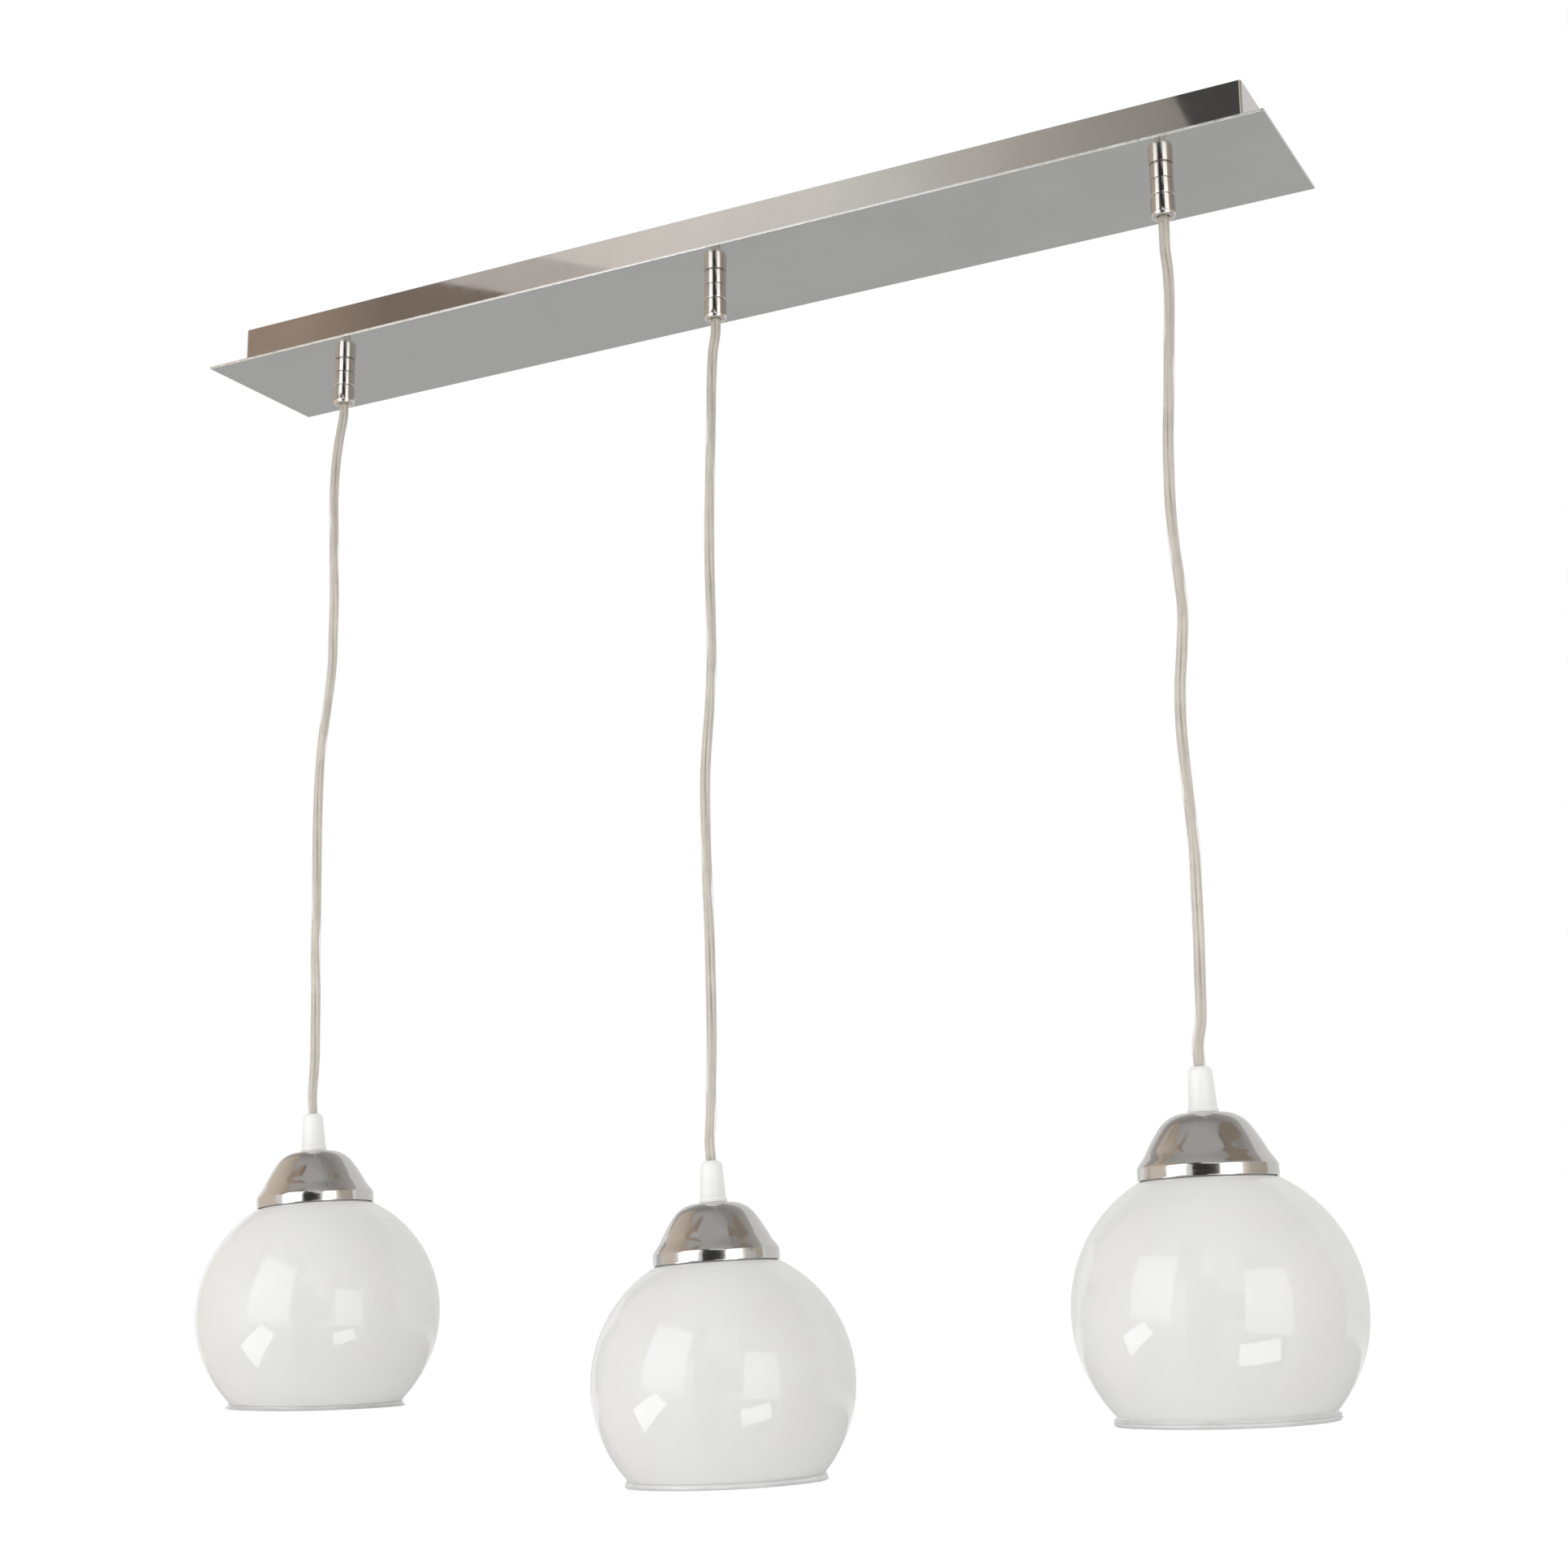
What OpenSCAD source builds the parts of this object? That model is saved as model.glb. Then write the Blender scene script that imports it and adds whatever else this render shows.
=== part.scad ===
// Three-shade pendant light, in millimetres.
// The origin is on the ceiling, above the middle of the canopy. X runs along the canopy,
// -Y points at the viewer and Z points up. Three cord grips in the canopy plate hold three
// clear cords, and each cord carries a head: sleeve, cap, lampholder and opal glass shade.
// Each head leans a little about Y, as it hangs, with its centre of mass under its grip.

/* [Canopy] */
// Length of the plate
plate_l = 720; // [640:1:800]
// Width of the plate
plate_w = 102; // [90:1:140]
// Thickness of the plate
plate_t = 1.5; // [1:0.1:3]
// Distance from the ceiling to the underside of the plate
canopy_h = 31; // [29:0.5:50]
// How far the plate stands out past the box at each end
end_margin = 16; // [6:0.5:24]
// How far the plate stands out past the box at each long side
side_margin = 17; // [6:0.5:22]
// Thickness of the box's wall
box_t = 1; // [0.8:0.1:1.6]
// Distance from the outer cord grips to the plate's ends
grip_inset = 73; // [50:1:120]

/* [Ceiling bracket] */
// Width of the strip
strip_w = 30; // [20:1:40]
// Thickness of the strip
strip_t = 1.5; // [1.2:0.1:2]
// Height of the turned-down tab at each end
tab_h = 18; // [16:0.5:24]
// Distance between the two ceiling screws
ceiling_pitch = 500; // [300:5:600]
// Diameter of each hole for a ceiling screw
ceiling_hole_d = 5.5; // [4:0.1:7]
// Diameter of the side screws' thread
side_screw_d = 4; // [3:0.5:5]
// Depth of the side screws below the ceiling
side_screw_z = 11; // [8:0.5:12]

/* [Wiring] */
// Place of the terminal block along the canopy
block_x = 60; // [45:1:120]
// Length of the block, along its clamps
block_l = 20; // [16:0.5:30]
// Height of the block
block_h = 14; // [12:0.5:16]
// Distance from one pole to the next
pole_pitch = 11; // [11:0.5:14]
// Outer diameter of the brass clamps
clamp_d = 6.4; // [6:0.1:6.6]
// Bore of the brass clamps
clamp_bore_d = 4.8; // [4.7:0.1:5]
// Diameter of a single insulated wire
wire_d = 2; // [1.4:0.1:2]
// Diameter of the clamp screws
clamp_screw_d = 3; // [2:0.1:3.2]
// Distance from the block to the earth screw
earth_reach = 27; // [22:1:40]

/* [Cord grips] */
// Diameter of the collar under the plate
collar_d = 13.2; // [12:0.1:16]
// Height of the collar
collar_h = 9.3; // [6:0.1:14]
// Diameter of the gland nut
gland_d = 13.8; // [13:0.1:16]
// Height of the gland nut
gland_h = 12.6; // [11:0.1:18]
// Rounding of the gland nut's lower edge
gland_round = 1.4; // [0.5:0.1:1.8]
// Diameter of the gland nut's mouth
mouth_d = 8.2; // [7.6:0.1:9]
// Diameter of the hollow threaded stem
stem_d = 10; // [9:0.1:11]
// How far the stem reaches above the plate
stem_rise = 9; // [6:0.5:9]

/* [Cords] */
// Diameter of the cords
cord_d = 6; // [5:0.1:6.2]
// Distance from the ceiling to the middle of the left shade
left_drop = 648; // [642:1:654]
// Distance from the ceiling to the middle of the middle shade
middle_drop = 686; // [680:1:692]
// Distance from the ceiling to the middle of the right shade
right_drop = 647; // [641:1:653]
// Lean of the left head, in degrees
left_lean = 4.5; // [0:0.1:6]
// Lean of the middle head, in degrees
middle_lean = 3.5; // [0:0.1:6]
// Lean of the right head, in degrees
right_lean = 1.8; // [0:0.1:6]

/* [Sleeve and cap] */
// Height of the white sleeve above the cap
sleeve_h = 23.6; // [19:0.1:30]
// Diameter of the sleeve's top
sleeve_top_d = 12; // [11:0.1:14]
// Diameter of the sleeve's base
sleeve_base_d = 15.8; // [14:0.1:19]
// Diameter of the cap's lip
cap_d = 71.6; // [68:0.2:76]
// Height of the cap
cap_h = 33.3; // [32:0.1:40]
// Height of the cap's upright lip
cap_lip = 5.6; // [3:0.1:8]
// Height of the cap's shoulder above the lip's edge
shoulder_h = 11.8; // [10:0.1:13]
// How far the shoulder is drawn in from the lip
shoulder_in = 3.9; // [3:0.1:5]
// Height of the cap's waist above the lip's edge
waist_h = 17.3; // [16:0.1:19]
// How far the waist is drawn in from the lip
waist_in = 7.35; // [6.5:0.05:8]
// Radius of the cap's round crown
crown_r = 17; // [15:0.5:18]
// Radius of the flat on which the sleeve stands
crown_flat = 9.1; // [8.5:0.1:10]
// Thickness of the cap's sheet
cap_t = 0.9; // [0.6:0.1:1.2]
// Length of the threaded nipple
nipple_l = 24; // [20:0.5:28]

/* [Glass shade] */
// Largest diameter of the shade
shade_d = 148; // [142:1:160]
// Thickness of the glass
glass_t = 2.6; // [2:0.1:4]
// Diameter of the hole in the shade's top
neck_d = 42; // [40:0.5:46]
// Diameter of the left glass just above its rim
left_throat_d = 105; // [100:1:120]
// Diameter of the middle glass just above its rim
middle_throat_d = 109; // [100:1:120]
// Diameter of the right glass just above its rim
right_throat_d = 109; // [100:1:120]
// Height of the rim below the throat
rim_h = 5.2; // [4.8:0.1:9]
// How far the rim's bead stands out past the throat
bead_out = 1.8; // [1:0.1:3]
// Radius of the rim's bead
bead_r = 1.7; // [1.2:0.1:1.9]
// How far the left glass turns back from its cap's lean, in degrees
left_glass_tilt = 4.5; // [0:0.1:6]
// How far the middle glass turns back from its cap's lean, in degrees
middle_glass_tilt = 1.5; // [0:0.1:6]
// How far the right glass turns back from its cap's lean, in degrees
right_glass_tilt = 0; // [0:0.1:6]

/* [Lampholder] */
// Inner diameter of the lamp's screw shell
lamp_d = 26.6; // [26.2:0.1:27]
// Length of the screw shell
shell_h = 17; // [14:0.5:20]
// Outer diameter of the holder's threaded skirt
skirt_d = 39.2; // [36:0.1:39.4]
// Length of the skirt below its flange
skirt_h = 33; // [30:0.5:38]
// Diameter of the skirt's flange, which lies on the glass
flange_d = 50; // [46:0.5:54]
// Thickness of the flange
flange_t = 2; // [1.5:0.1:3]
// Diameter of the holder's dome
holder_d = 36; // [34:0.5:38]
// Wall of the holder's dome
holder_t = 1.8; // [1.2:0.1:2.4]
// Outer diameter of the retaining ring
ring_d = 55; // [50:0.5:58]
// Height of the retaining ring
ring_h = 9; // [6:0.5:12]
// Number of finger notches round the retaining ring
ring_notches = 12; // [8:1:16]

/* [Hidden] */
$fn = 96;

LEFT = 0;
MIDDLE = 1;
RIGHT = 2;
ALL = [LEFT, MIDDLE, RIGHT];

// Clearances: between threads, round a screw's shank, and where curved faces lie near
thread_gap = 0.05;
hole_gap = 0.2;
seat_gap = 0.3;

// How far a cut runs past the faces that it opens
past = 1;

// Canopy: the plate's two faces, and the box that stands on it and ends just off the ceiling
plate_under = -canopy_h;
plate_top = plate_under + plate_t;
ceiling_gap = 0.5;
box_l = plate_l - 2 * end_margin;
box_w = plate_w - 2 * side_margin;
box_h = -ceiling_gap - plate_top;

// Bracket: its tabs stand just inside the box's short ends
bracket_l = box_l - 2 * box_t - 2 * seat_gap;
side_head_r = side_screw_d;
side_head_t = 0.6 * side_screw_d;
side_screw_end = 3;
slot_share = 0.4;

// Terminal block, hung under the strip
block_top = -strip_t;
block_w = 3 * pole_pitch;
pole_z = block_top - 0.5 * block_h;
clamp_inset = 1;
block_screw_r = 1.4;
block_screw_head_r = 2.6;
block_screw_head_t = 1.8;
screw_tip = 0.2;
clamp_screw_sunk = 0.5;
clamp_screw_dip = 0.1;
earth_x = block_x + block_l / 2 + earth_reach;
earth_screw_r = 2;
earth_head_r = 3.6;
earth_head_t = 2.2;
earth_screw_drop = strip_t + wire_d;

// Wires: each rises from its cord and bends over, spreads to its pole's side and is straight
// again before it enters the block
wire_bend = 5;
wire_spread = 16;
wire_settled = 30;
wire_gap = 0.1;
wire_stack = wire_d / 2 + wire_gap;
wire_bite = 5;
earth_straight = 4;
earth_entry = 3;
earth_bend = 7;
earth_rise = 1.5;

// Grips, from the plate down; the cord bends at the pivot just inside the mouth
stem_hole_r = stem_d / 2 + hole_gap;
stem_lead = 1;
washer_reach = 3.4;
washer_t = 0.8;
locknut_reach = 3;
locknut_t = 3.5;
turned_chamfer = 0.4;
collar_chamfer = 0.3;
cord_bore_r = cord_d / 2 + seat_gap;
seam = 0.3;
collar_under = plate_under - collar_h;
gland_top = collar_under - seam;
gland_under = gland_top - gland_h;
gland_floor = 3.2;
gland_shoulder = gland_under + gland_floor;
stub_l = 5.7;
clamp_sleeve_h = 3.6;
clamp_sleeve_gap = 0.5;
flex_gap = 0.1;
flex_r = cord_d / 2 - flex_gap;
pivot_rise = 0.3;
pivot_z = gland_under + pivot_rise;
cord_top = pivot_z - flex_r - seat_gap;
tail_bottom = pivot_z + flex_r + seat_gap;
tail_rise = 3.5;
tail_top = plate_top + stem_rise + tail_rise;
core_y = 1.5;

// Heads: heights are above the middle of the shade, along the head's own axis
drops = [left_drop, middle_drop, right_drop];
leans = [left_lean, middle_lean, right_lean];
glass_tilts = [left_glass_tilt, middle_glass_tilt, right_glass_tilt];
throat_ds = [left_throat_d, middle_throat_d, right_throat_d];
balance_arm = 30;
shade_r = shade_d / 2;
neck_r = neck_d / 2;
cap_r = cap_d / 2;
nipple_r = stem_d / 2;
cap_seat = sqrt(pow(shade_r, 2) - pow(cap_r - cap_t, 2)) + seat_gap;
cap_top = cap_seat + cap_h;
sleeve_top = cap_top + sleeve_h;
sleeve_cavity_h = 12;
sleeve_foot_h = 2;
sleeve_step = 0.5;
sleeve_chamfer = 0.8;
flange_gap = 0.1;
flange_under = sqrt(pow(shade_r, 2) - pow(neck_r, 2)) + flange_gap;
flange_top = flange_under + flange_t;
holder_top = cap_top - cap_t;
holder_round = 11;
skirt_bottom = flange_under - skirt_h;
shell_r = lamp_d / 2;
shell_t = 0.6;
skirt_bore_r = shell_r + shell_t + seat_gap;
shell_inset = 2;
shell_bottom = skirt_bottom + shell_inset;
shell_top = shell_bottom + shell_h;
contact_block_r = skirt_bore_r - seat_gap;
contact_block_rise = 7;
contact_block_top = flange_top + contact_block_rise;
contact_recess_r = 11;
contact_recess_h = 4.5;
contact_r = 4;
contact_t = 1;
contact_stalk_r = 1.5;
contact_above_shell = 0.5;
nipple_clear = 1;
nipple_top = cap_top + sleeve_cavity_h - nipple_clear;
nipple_bottom = nipple_top - nipple_l;
nipple_play = 0.1;
cord_out = 0.5;
cord_end = nipple_bottom - cord_out;
ring_r = ring_d / 2;
ring_bore_r = skirt_d / 2 + seat_gap;
ring_top = sqrt(pow(shade_r - glass_t, 2) - pow(ring_r, 2)) - seat_gap;
notch_r = 2.2;
notch_stop = 2;

// Cap outline: the crown ends where it slopes by this angle, and the three stretches from
// there to the lip bow out, in and out again by these amounts
crown_end = 38;
crown_bow = 0.34;
waist_bow = -0.2;
shoulder_bow = 0.12;

// Rim: the bead's height between its two round edges, and how far pieces of glass overlap
bead_step = 1.2;
glass_lap = 0.5;

// Routes of the three cords as photographed: [across from the grip, height], from the
// grip's mouth down to just above the sleeve
left_route = [
  [0, -62], [-2, -72], [-4, -84], [-5.5, -100], [-6, -120], [-5, -142], [-4, -165],
  [-3, -188], [-3, -211], [-3, -232], [-5, -252], [-8, -274], [-10, -295], [-11, -317],
  [-11, -339], [-10.5, -361], [-10, -383], [-9.5, -405], [-9, -427], [-8, -449],
  [-7.5, -471], [-7, -492],
];
middle_route = [
  [0, -62], [-2, -74], [-3, -92], [-3.5, -114], [-4, -137], [-4.5, -160], [-5, -183],
  [-5, -206], [-4.5, -229], [-4, -252], [-4, -274], [-5, -295], [-7, -317], [-8.5, -339],
  [-8.5, -362], [-8, -385], [-7, -408], [-6, -431], [-5.5, -454], [-5, -477],
  [-5, -500], [-5.5, -522], [-5.5, -538],
];
right_route = [
  [0, -62], [0, -73], [1, -86], [1, -101], [0, -120], [-1, -140], [-2, -160],
  [-3.5, -182], [-4, -204], [-4, -224], [-3, -244], [-1, -264], [0, -282], [-1.5, -302],
  [-3.5, -322], [-4, -344], [-3, -366], [-1.5, -388], [0, -410], [0, -434],
  [0, -458], [-0.5, -480], [-1, -500],
];
routes = [left_route, middle_route, right_route];
entry_run = 12;

cord_sides = 8;
wire_sides = 6;

// Places

function grip_x(i) = (i - MIDDLE) * (plate_l / 2 - grip_inset);

// A point on a head's axis, h above the middle of its shade
function head_point(i, h) = [
  grip_x(i) + (balance_arm - h) * sin(leans[i]),
  0,
  -drops[i] + h * cos(leans[i])
];

module in_head(i) {
  translate(head_point(i, 0))
    rotate([0, -leans[i], 0])
      children();
}

// Outlines

function unit(v) = v / norm(v);

function arc(centre, r, from, to, steps) = [
  for (k = [0:steps])
    let (a = from + (to - from) * k / steps)
      [centre[0] + r * cos(a), centre[1] + r * sin(a)]
];

// A shallow curve from p to q that bulges out by sag at its middle
function bow(p, q, sag, steps) =
  let (out = unit([p[1] - q[1], q[0] - p[0]]))
  [for (k = [0:steps]) let (t = k / steps) p + t * (q - p) + 4 * sag * t * (1 - t) * out];

// An outline and the same outline moved t inwards, joined into a closed sheet
function sheet(points, t) =
  let (last = len(points) - 1)
  concat(
    points,
    [
      for (k = [last:-1:0])
        let (along = points[min(k + 1, last)] - points[max(k - 1, 0)])
          points[k] + t * unit([along[1], -along[0]])
    ]
  );

// A round cut through the thickness h above the origin
module drill(r, h) {
  translate([0, 0, -past])
    cylinder(r = r, h = h + 2 * past);
}

// Tubes swept along a route whose direction never turns along Y

function heading(points, k) =
  unit(points[min(k + 1, len(points) - 1)] - points[max(k - 1, 0)]);

function ring(centre, along, r, sides) =
  let (
    across = unit(cross(along, [0, 1, 0])),
    up = cross(across, along)
  )
  [for (s = [0:sides - 1]) centre + r * (cos(360 * s / sides) * across + sin(360 * s / sides) * up)];

module tube(points, r, sides) {
  last = len(points) - 1;
  skin = [for (k = [0:last]) each ring(points[k], heading(points, k), r, sides)];
  walls = [
    for (k = [0:last - 1], s = [0:sides - 1])
      let (a = k * sides + s, b = k * sides + (s + 1) % sides)
        each [[a, b, b + sides], [a, b + sides, a + sides]]
  ];
  ends = [
    [for (s = [sides - 1:-1:0]) s],
    [for (s = [0:sides - 1]) last * sides + s]
  ];
  polyhedron(points = skin, faces = concat(walls, ends), convexity = 4);
}

// Lays along X, with its middle at the origin, what stands on the origin and is l tall
module along_x(l) {
  translate([-l / 2, 0, 0])
    rotate([0, 90, 0])
      children();
}

// Canopy

module canopy_plate() {
  color("silver")
    difference() {
      translate([-plate_l / 2, -plate_w / 2, plate_under])
        cube([plate_l, plate_w, plate_t]);
      for (i = ALL)
        translate([grip_x(i), 0, plate_under])
          drill(stem_hole_r, plate_t);
    }
}

module canopy_frame() {
  color("gainsboro")
    difference() {
      translate([-box_l / 2, -box_w / 2, plate_top])
        cube([box_l, box_w, box_h]);
      translate([-box_l / 2 + box_t, -box_w / 2 + box_t, plate_top - past])
        cube([box_l - 2 * box_t, box_w - 2 * box_t, box_h + 2 * past]);
      translate([0, 0, -side_screw_z])
        along_x(box_l)
          drill(side_screw_d / 2 + hole_gap, box_l);
    }
}

module ceiling_bracket() {
  color("lightgray")
    difference() {
      translate([-bracket_l / 2, -strip_w / 2, -tab_h])
        cube([bracket_l, strip_w, tab_h]);
      translate([-bracket_l / 2 + strip_t, -strip_w / 2 - past, -tab_h - strip_t])
        cube([bracket_l - 2 * strip_t, strip_w + 2 * past, tab_h]);
      for (x = [-ceiling_pitch / 2, ceiling_pitch / 2])
        translate([x, 0, -strip_t])
          drill(ceiling_hole_d / 2, strip_t);
      translate([0, 0, -side_screw_z])
        along_x(bracket_l)
          drill(side_screw_d / 2 + thread_gap, bracket_l);
      translate([block_x, pole_pitch / 2, -strip_t])
        drill(block_screw_r + thread_gap, strip_t);
      translate([earth_x, 0, -strip_t])
        drill(earth_screw_r + thread_gap, strip_t);
    }
}

// One screw along Z with its head's underside at the origin, pointing up
module screw(r, l, head_r, head_t) {
  union() {
    cylinder(r = r, h = l);
    difference() {
      translate([0, 0, -head_t])
        cylinder(r = head_r, h = head_t);
      translate([-head_r, -slot_share * head_r / 2, -head_t - past])
        cube([2 * head_r, slot_share * head_r, past + slot_share * head_t]);
    }
  }
}

module side_screws() {
  shank = box_t + seat_gap + strip_t + side_screw_end;
  color("silver")
    for (side = [-1, 1])
      translate([side * box_l / 2, 0, -side_screw_z])
        rotate([0, -side * 90, 0])
          screw(side_screw_d / 2, shank, side_head_r, side_head_t);
}

// Wiring

module at_poles() {
  for (pole = [-1, 0, 1])
    translate([block_x, pole * pole_pitch, pole_z])
      children();
}

module at_clamp_screws() {
  at_poles()
    for (side = [-1, 1])
      translate([side * block_l / 4, 0, -block_h / 2])
        children();
}

module terminal_block() {
  color("whitesmoke")
    difference() {
      translate([block_x - block_l / 2, -block_w / 2, block_top - block_h])
        cube([block_l, block_w, block_h]);
      at_poles()
        along_x(block_l)
          drill(clamp_d / 2 + thread_gap, block_l);
      at_clamp_screws()
        translate([0, 0, -past])
          cylinder(d = clamp_screw_d + hole_gap, h = block_h / 2);
      translate([block_x, pole_pitch / 2, block_top - block_h])
        drill(block_screw_r + thread_gap, block_h);
    }
}

module terminal_clamps() {
  clamp_l = block_l - 2 * clamp_inset;
  color("goldenrod")
    difference() {
      at_poles()
        along_x(clamp_l)
          ring_of(clamp_d / 2, clamp_bore_d / 2, clamp_l);
      at_clamp_screws()
        cylinder(d = clamp_screw_d + 2 * thread_gap, h = block_h / 2);
    }
}

module terminal_screws() {
  color("silver")
    at_clamp_screws()
      translate([0, 0, clamp_screw_sunk])
        cylinder(
          d = clamp_screw_d,
          h = block_h / 2 - clamp_bore_d / 2 - clamp_screw_sunk + clamp_screw_dip
        );
}

module block_screw() {
  color("silver")
    translate([block_x, pole_pitch / 2, block_top - block_h])
      screw(block_screw_r, block_h + strip_t - screw_tip, block_screw_head_r, block_screw_head_t);
}

module earth_screw() {
  color("goldenrod")
    translate([earth_x, 0, -earth_screw_drop])
      screw(earth_screw_r, earth_screw_drop - screw_tip, earth_head_r, earth_head_t);
}

// One conductor from a cord's stripped end to a clamp: it rises, bends towards the block
// at height z and runs level over to its pole's side
function wire_route(i, side, dir, z) =
  let (
    x = grip_x(i),
    pole_y = side * pole_pitch,
    door = block_x - dir * block_l / 2
  )
  concat(
    [[x, side * core_y, tail_top]],
    [
      for (a = [0:30:90])
        [x + dir * wire_bend * (1 - cos(a)), side * core_y, z - wire_bend * (1 - sin(a))]
    ],
    [
      [x + dir * wire_spread, 0.5 * pole_y, z],
      [x + dir * wire_settled, pole_y, z],
      [door, pole_y, z],
      [door + dir * wire_bite, pole_y, z]
    ]
  );

module core_wires(side) {
  tube(wire_route(LEFT, side, 1, pole_z + wire_stack), wire_d / 2, wire_sides);
  tube(wire_route(MIDDLE, side, 1, pole_z - wire_stack), wire_d / 2, wire_sides);
  tube(wire_route(RIGHT, side, -1, pole_z), wire_d / 2, wire_sides);
}

module live_wires() {
  color("saddlebrown") core_wires(-1);
}

module neutral_wires() {
  color("royalblue") core_wires(1);
}

// Runs from beside the earth screw's shank, where the head holds it to the strip, down to
// the middle clamp
module earth_wire() {
  door = block_x + block_l / 2;
  start_x = earth_x - earth_screw_r - wire_d / 2;
  start_z = -strip_t - wire_d / 2;
  color("yellowgreen")
    tube([
      [start_x, 0, start_z],
      [start_x - earth_straight, 0, start_z],
      [start_x - 2 * earth_straight, 0, start_z - wire_d],
      [door + earth_bend, 0, pole_z + earth_rise],
      [door + earth_entry, 0, pole_z],
      [door - wire_bite, 0, pole_z]
    ], wire_d / 2, wire_sides);
}

// Cord grips

module grip_body(i) {
  color("silver")
    translate([grip_x(i), 0, 0])
      rotate_extrude()
        polygon([
          [cord_bore_r, plate_top + stem_rise],
          [cord_bore_r, collar_under - stub_l + stem_lead],
          [cord_bore_r + stem_lead, collar_under - stub_l],
          [stem_d / 2 - thread_gap, collar_under - stub_l],
          [stem_d / 2 - thread_gap, collar_under],
          [collar_d / 2 - turned_chamfer, collar_under],
          [collar_d / 2, collar_under + turned_chamfer],
          [collar_d / 2, plate_under - collar_chamfer],
          [collar_d / 2 - collar_chamfer, plate_under],
          [stem_d / 2, plate_under],
          [stem_d / 2, plate_top + stem_rise]
        ]);
}

module gland_nut(i) {
  corner = [gland_d / 2 - gland_round, gland_under + gland_round];
  color("silver")
    translate([grip_x(i), 0, 0])
      rotate_extrude()
        polygon(concat(
          [
            [stem_d / 2, gland_top],
            [stem_d / 2, gland_shoulder],
            [cord_bore_r, gland_shoulder],
            [mouth_d / 2, gland_under]
          ],
          arc(corner, gland_round, 270, 360, 6),
          [
            [gland_d / 2, gland_top - turned_chamfer],
            [gland_d / 2 - turned_chamfer, gland_top]
          ]
        ));
}

module ring_of(outer_r, inner_r, h) {
  difference() {
    cylinder(r = outer_r, h = h);
    drill(inner_r, h);
  }
}

module grip_washers() {
  color("silver")
    for (i = ALL)
      translate([grip_x(i), 0, plate_top])
        ring_of(stem_d / 2 + washer_reach, stem_hole_r, washer_t);
}

module grip_locknuts() {
  color("goldenrod")
    for (i = ALL)
      translate([grip_x(i), 0, plate_top + washer_t])
        difference() {
          cylinder(r = stem_d / 2 + locknut_reach, h = locknut_t, $fn = 6);
          drill(stem_d / 2 + thread_gap, locknut_t);
        }
}

module clamp_sleeves() {
  color("white")
    for (i = ALL)
      translate([grip_x(i), 0, gland_shoulder])
        ring_of(stem_d / 2 - clamp_sleeve_gap, cord_d / 2 + thread_gap, clamp_sleeve_h);
}

module cord_tails() {
  color("ivory")
    for (i = ALL)
      translate([grip_x(i), 0, tail_bottom])
        cylinder(d = cord_d, h = tail_top - tail_bottom);
}

// Cords: the ball is the short stretch that flexes in the grip's mouth

module cord_flex(i) {
  color("ivory")
    translate([grip_x(i), 0, pivot_z])
      sphere(r = flex_r);
}

function cord_route(i) = concat(
  [[grip_x(i), 0, cord_top]],
  [for (p = routes[i]) [grip_x(i) + p[0], 0, p[1]]],
  [
    head_point(i, sleeve_top + entry_run),
    head_point(i, sleeve_top),
    head_point(i, (sleeve_top + cord_end) / 2),
    head_point(i, cord_end)
  ]
);

module cord(i) {
  color("ivory")
    tube(cord_route(i), cord_d / 2, cord_sides);
}

// Heads

module sleeve(i) {
  base_r = sleeve_base_d / 2;
  top_r = sleeve_top_d / 2;
  color("white")
    in_head(i)
      translate([0, 0, cap_top])
        rotate_extrude()
          polygon([
            [nipple_r + thread_gap, 0],
            [base_r, 0],
            [base_r, sleeve_foot_h],
            [base_r - sleeve_step, sleeve_foot_h + sleeve_step],
            [top_r, sleeve_h - sleeve_chamfer],
            [top_r - sleeve_chamfer, sleeve_h],
            [cord_bore_r, sleeve_h],
            [cord_bore_r, sleeve_cavity_h],
            [nipple_r + thread_gap, sleeve_cavity_h]
          ]);
}

module nipple(i) {
  color("goldenrod")
    in_head(i)
      translate([0, 0, nipple_bottom])
        ring_of(nipple_r, cord_bore_r + nipple_play, nipple_l);
}

// From the hole in the cap's top down to its lip
function cap_outline() =
  let (
    crown = arc([crown_flat, cap_h - crown_r], crown_r, 90, crown_end, 12),
    waist = [cap_r - waist_in, waist_h],
    shoulder = [cap_r - shoulder_in, shoulder_h],
    lip = [cap_r, cap_lip]
  )
  concat(
    [[nipple_r + hole_gap, cap_h]],
    crown,
    [for (p = bow(crown[len(crown) - 1], waist, crown_bow, 5)) if (p != crown[len(crown) - 1]) p],
    [for (p = bow(waist, shoulder, waist_bow, 4)) if (p != waist) p],
    [for (p = bow(shoulder, lip, shoulder_bow, 3)) if (p != shoulder) p],
    [[cap_r, 0]]
  );

module cap(i) {
  color("silver")
    in_head(i)
      translate([0, 0, cap_seat])
        rotate_extrude()
          polygon(sheet(cap_outline(), cap_t));
}

module holder_dome(i) {
  outline = concat(
    [[nipple_r + thread_gap, holder_top]],
    arc([holder_d / 2 - holder_round, holder_top - holder_round], holder_round, 90, 0, 8),
    [[holder_d / 2, flange_top]]
  );
  color("whitesmoke")
    in_head(i)
      rotate_extrude()
        polygon(sheet(outline, holder_t));
}

module contact_block(i) {
  color("linen")
    in_head(i)
      translate([0, 0, shell_top])
        difference() {
          cylinder(r = contact_block_r, h = contact_block_top - shell_top);
          translate([0, 0, -past])
            cylinder(r = contact_recess_r, h = past + contact_recess_h);
        }
}

module lead_wires(i) {
  color("saddlebrown")
    in_head(i)
      for (side = [-1, 1])
        translate([0, side * core_y, contact_block_top])
          cylinder(d = wire_d, h = cord_end - contact_block_top);
}

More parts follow.
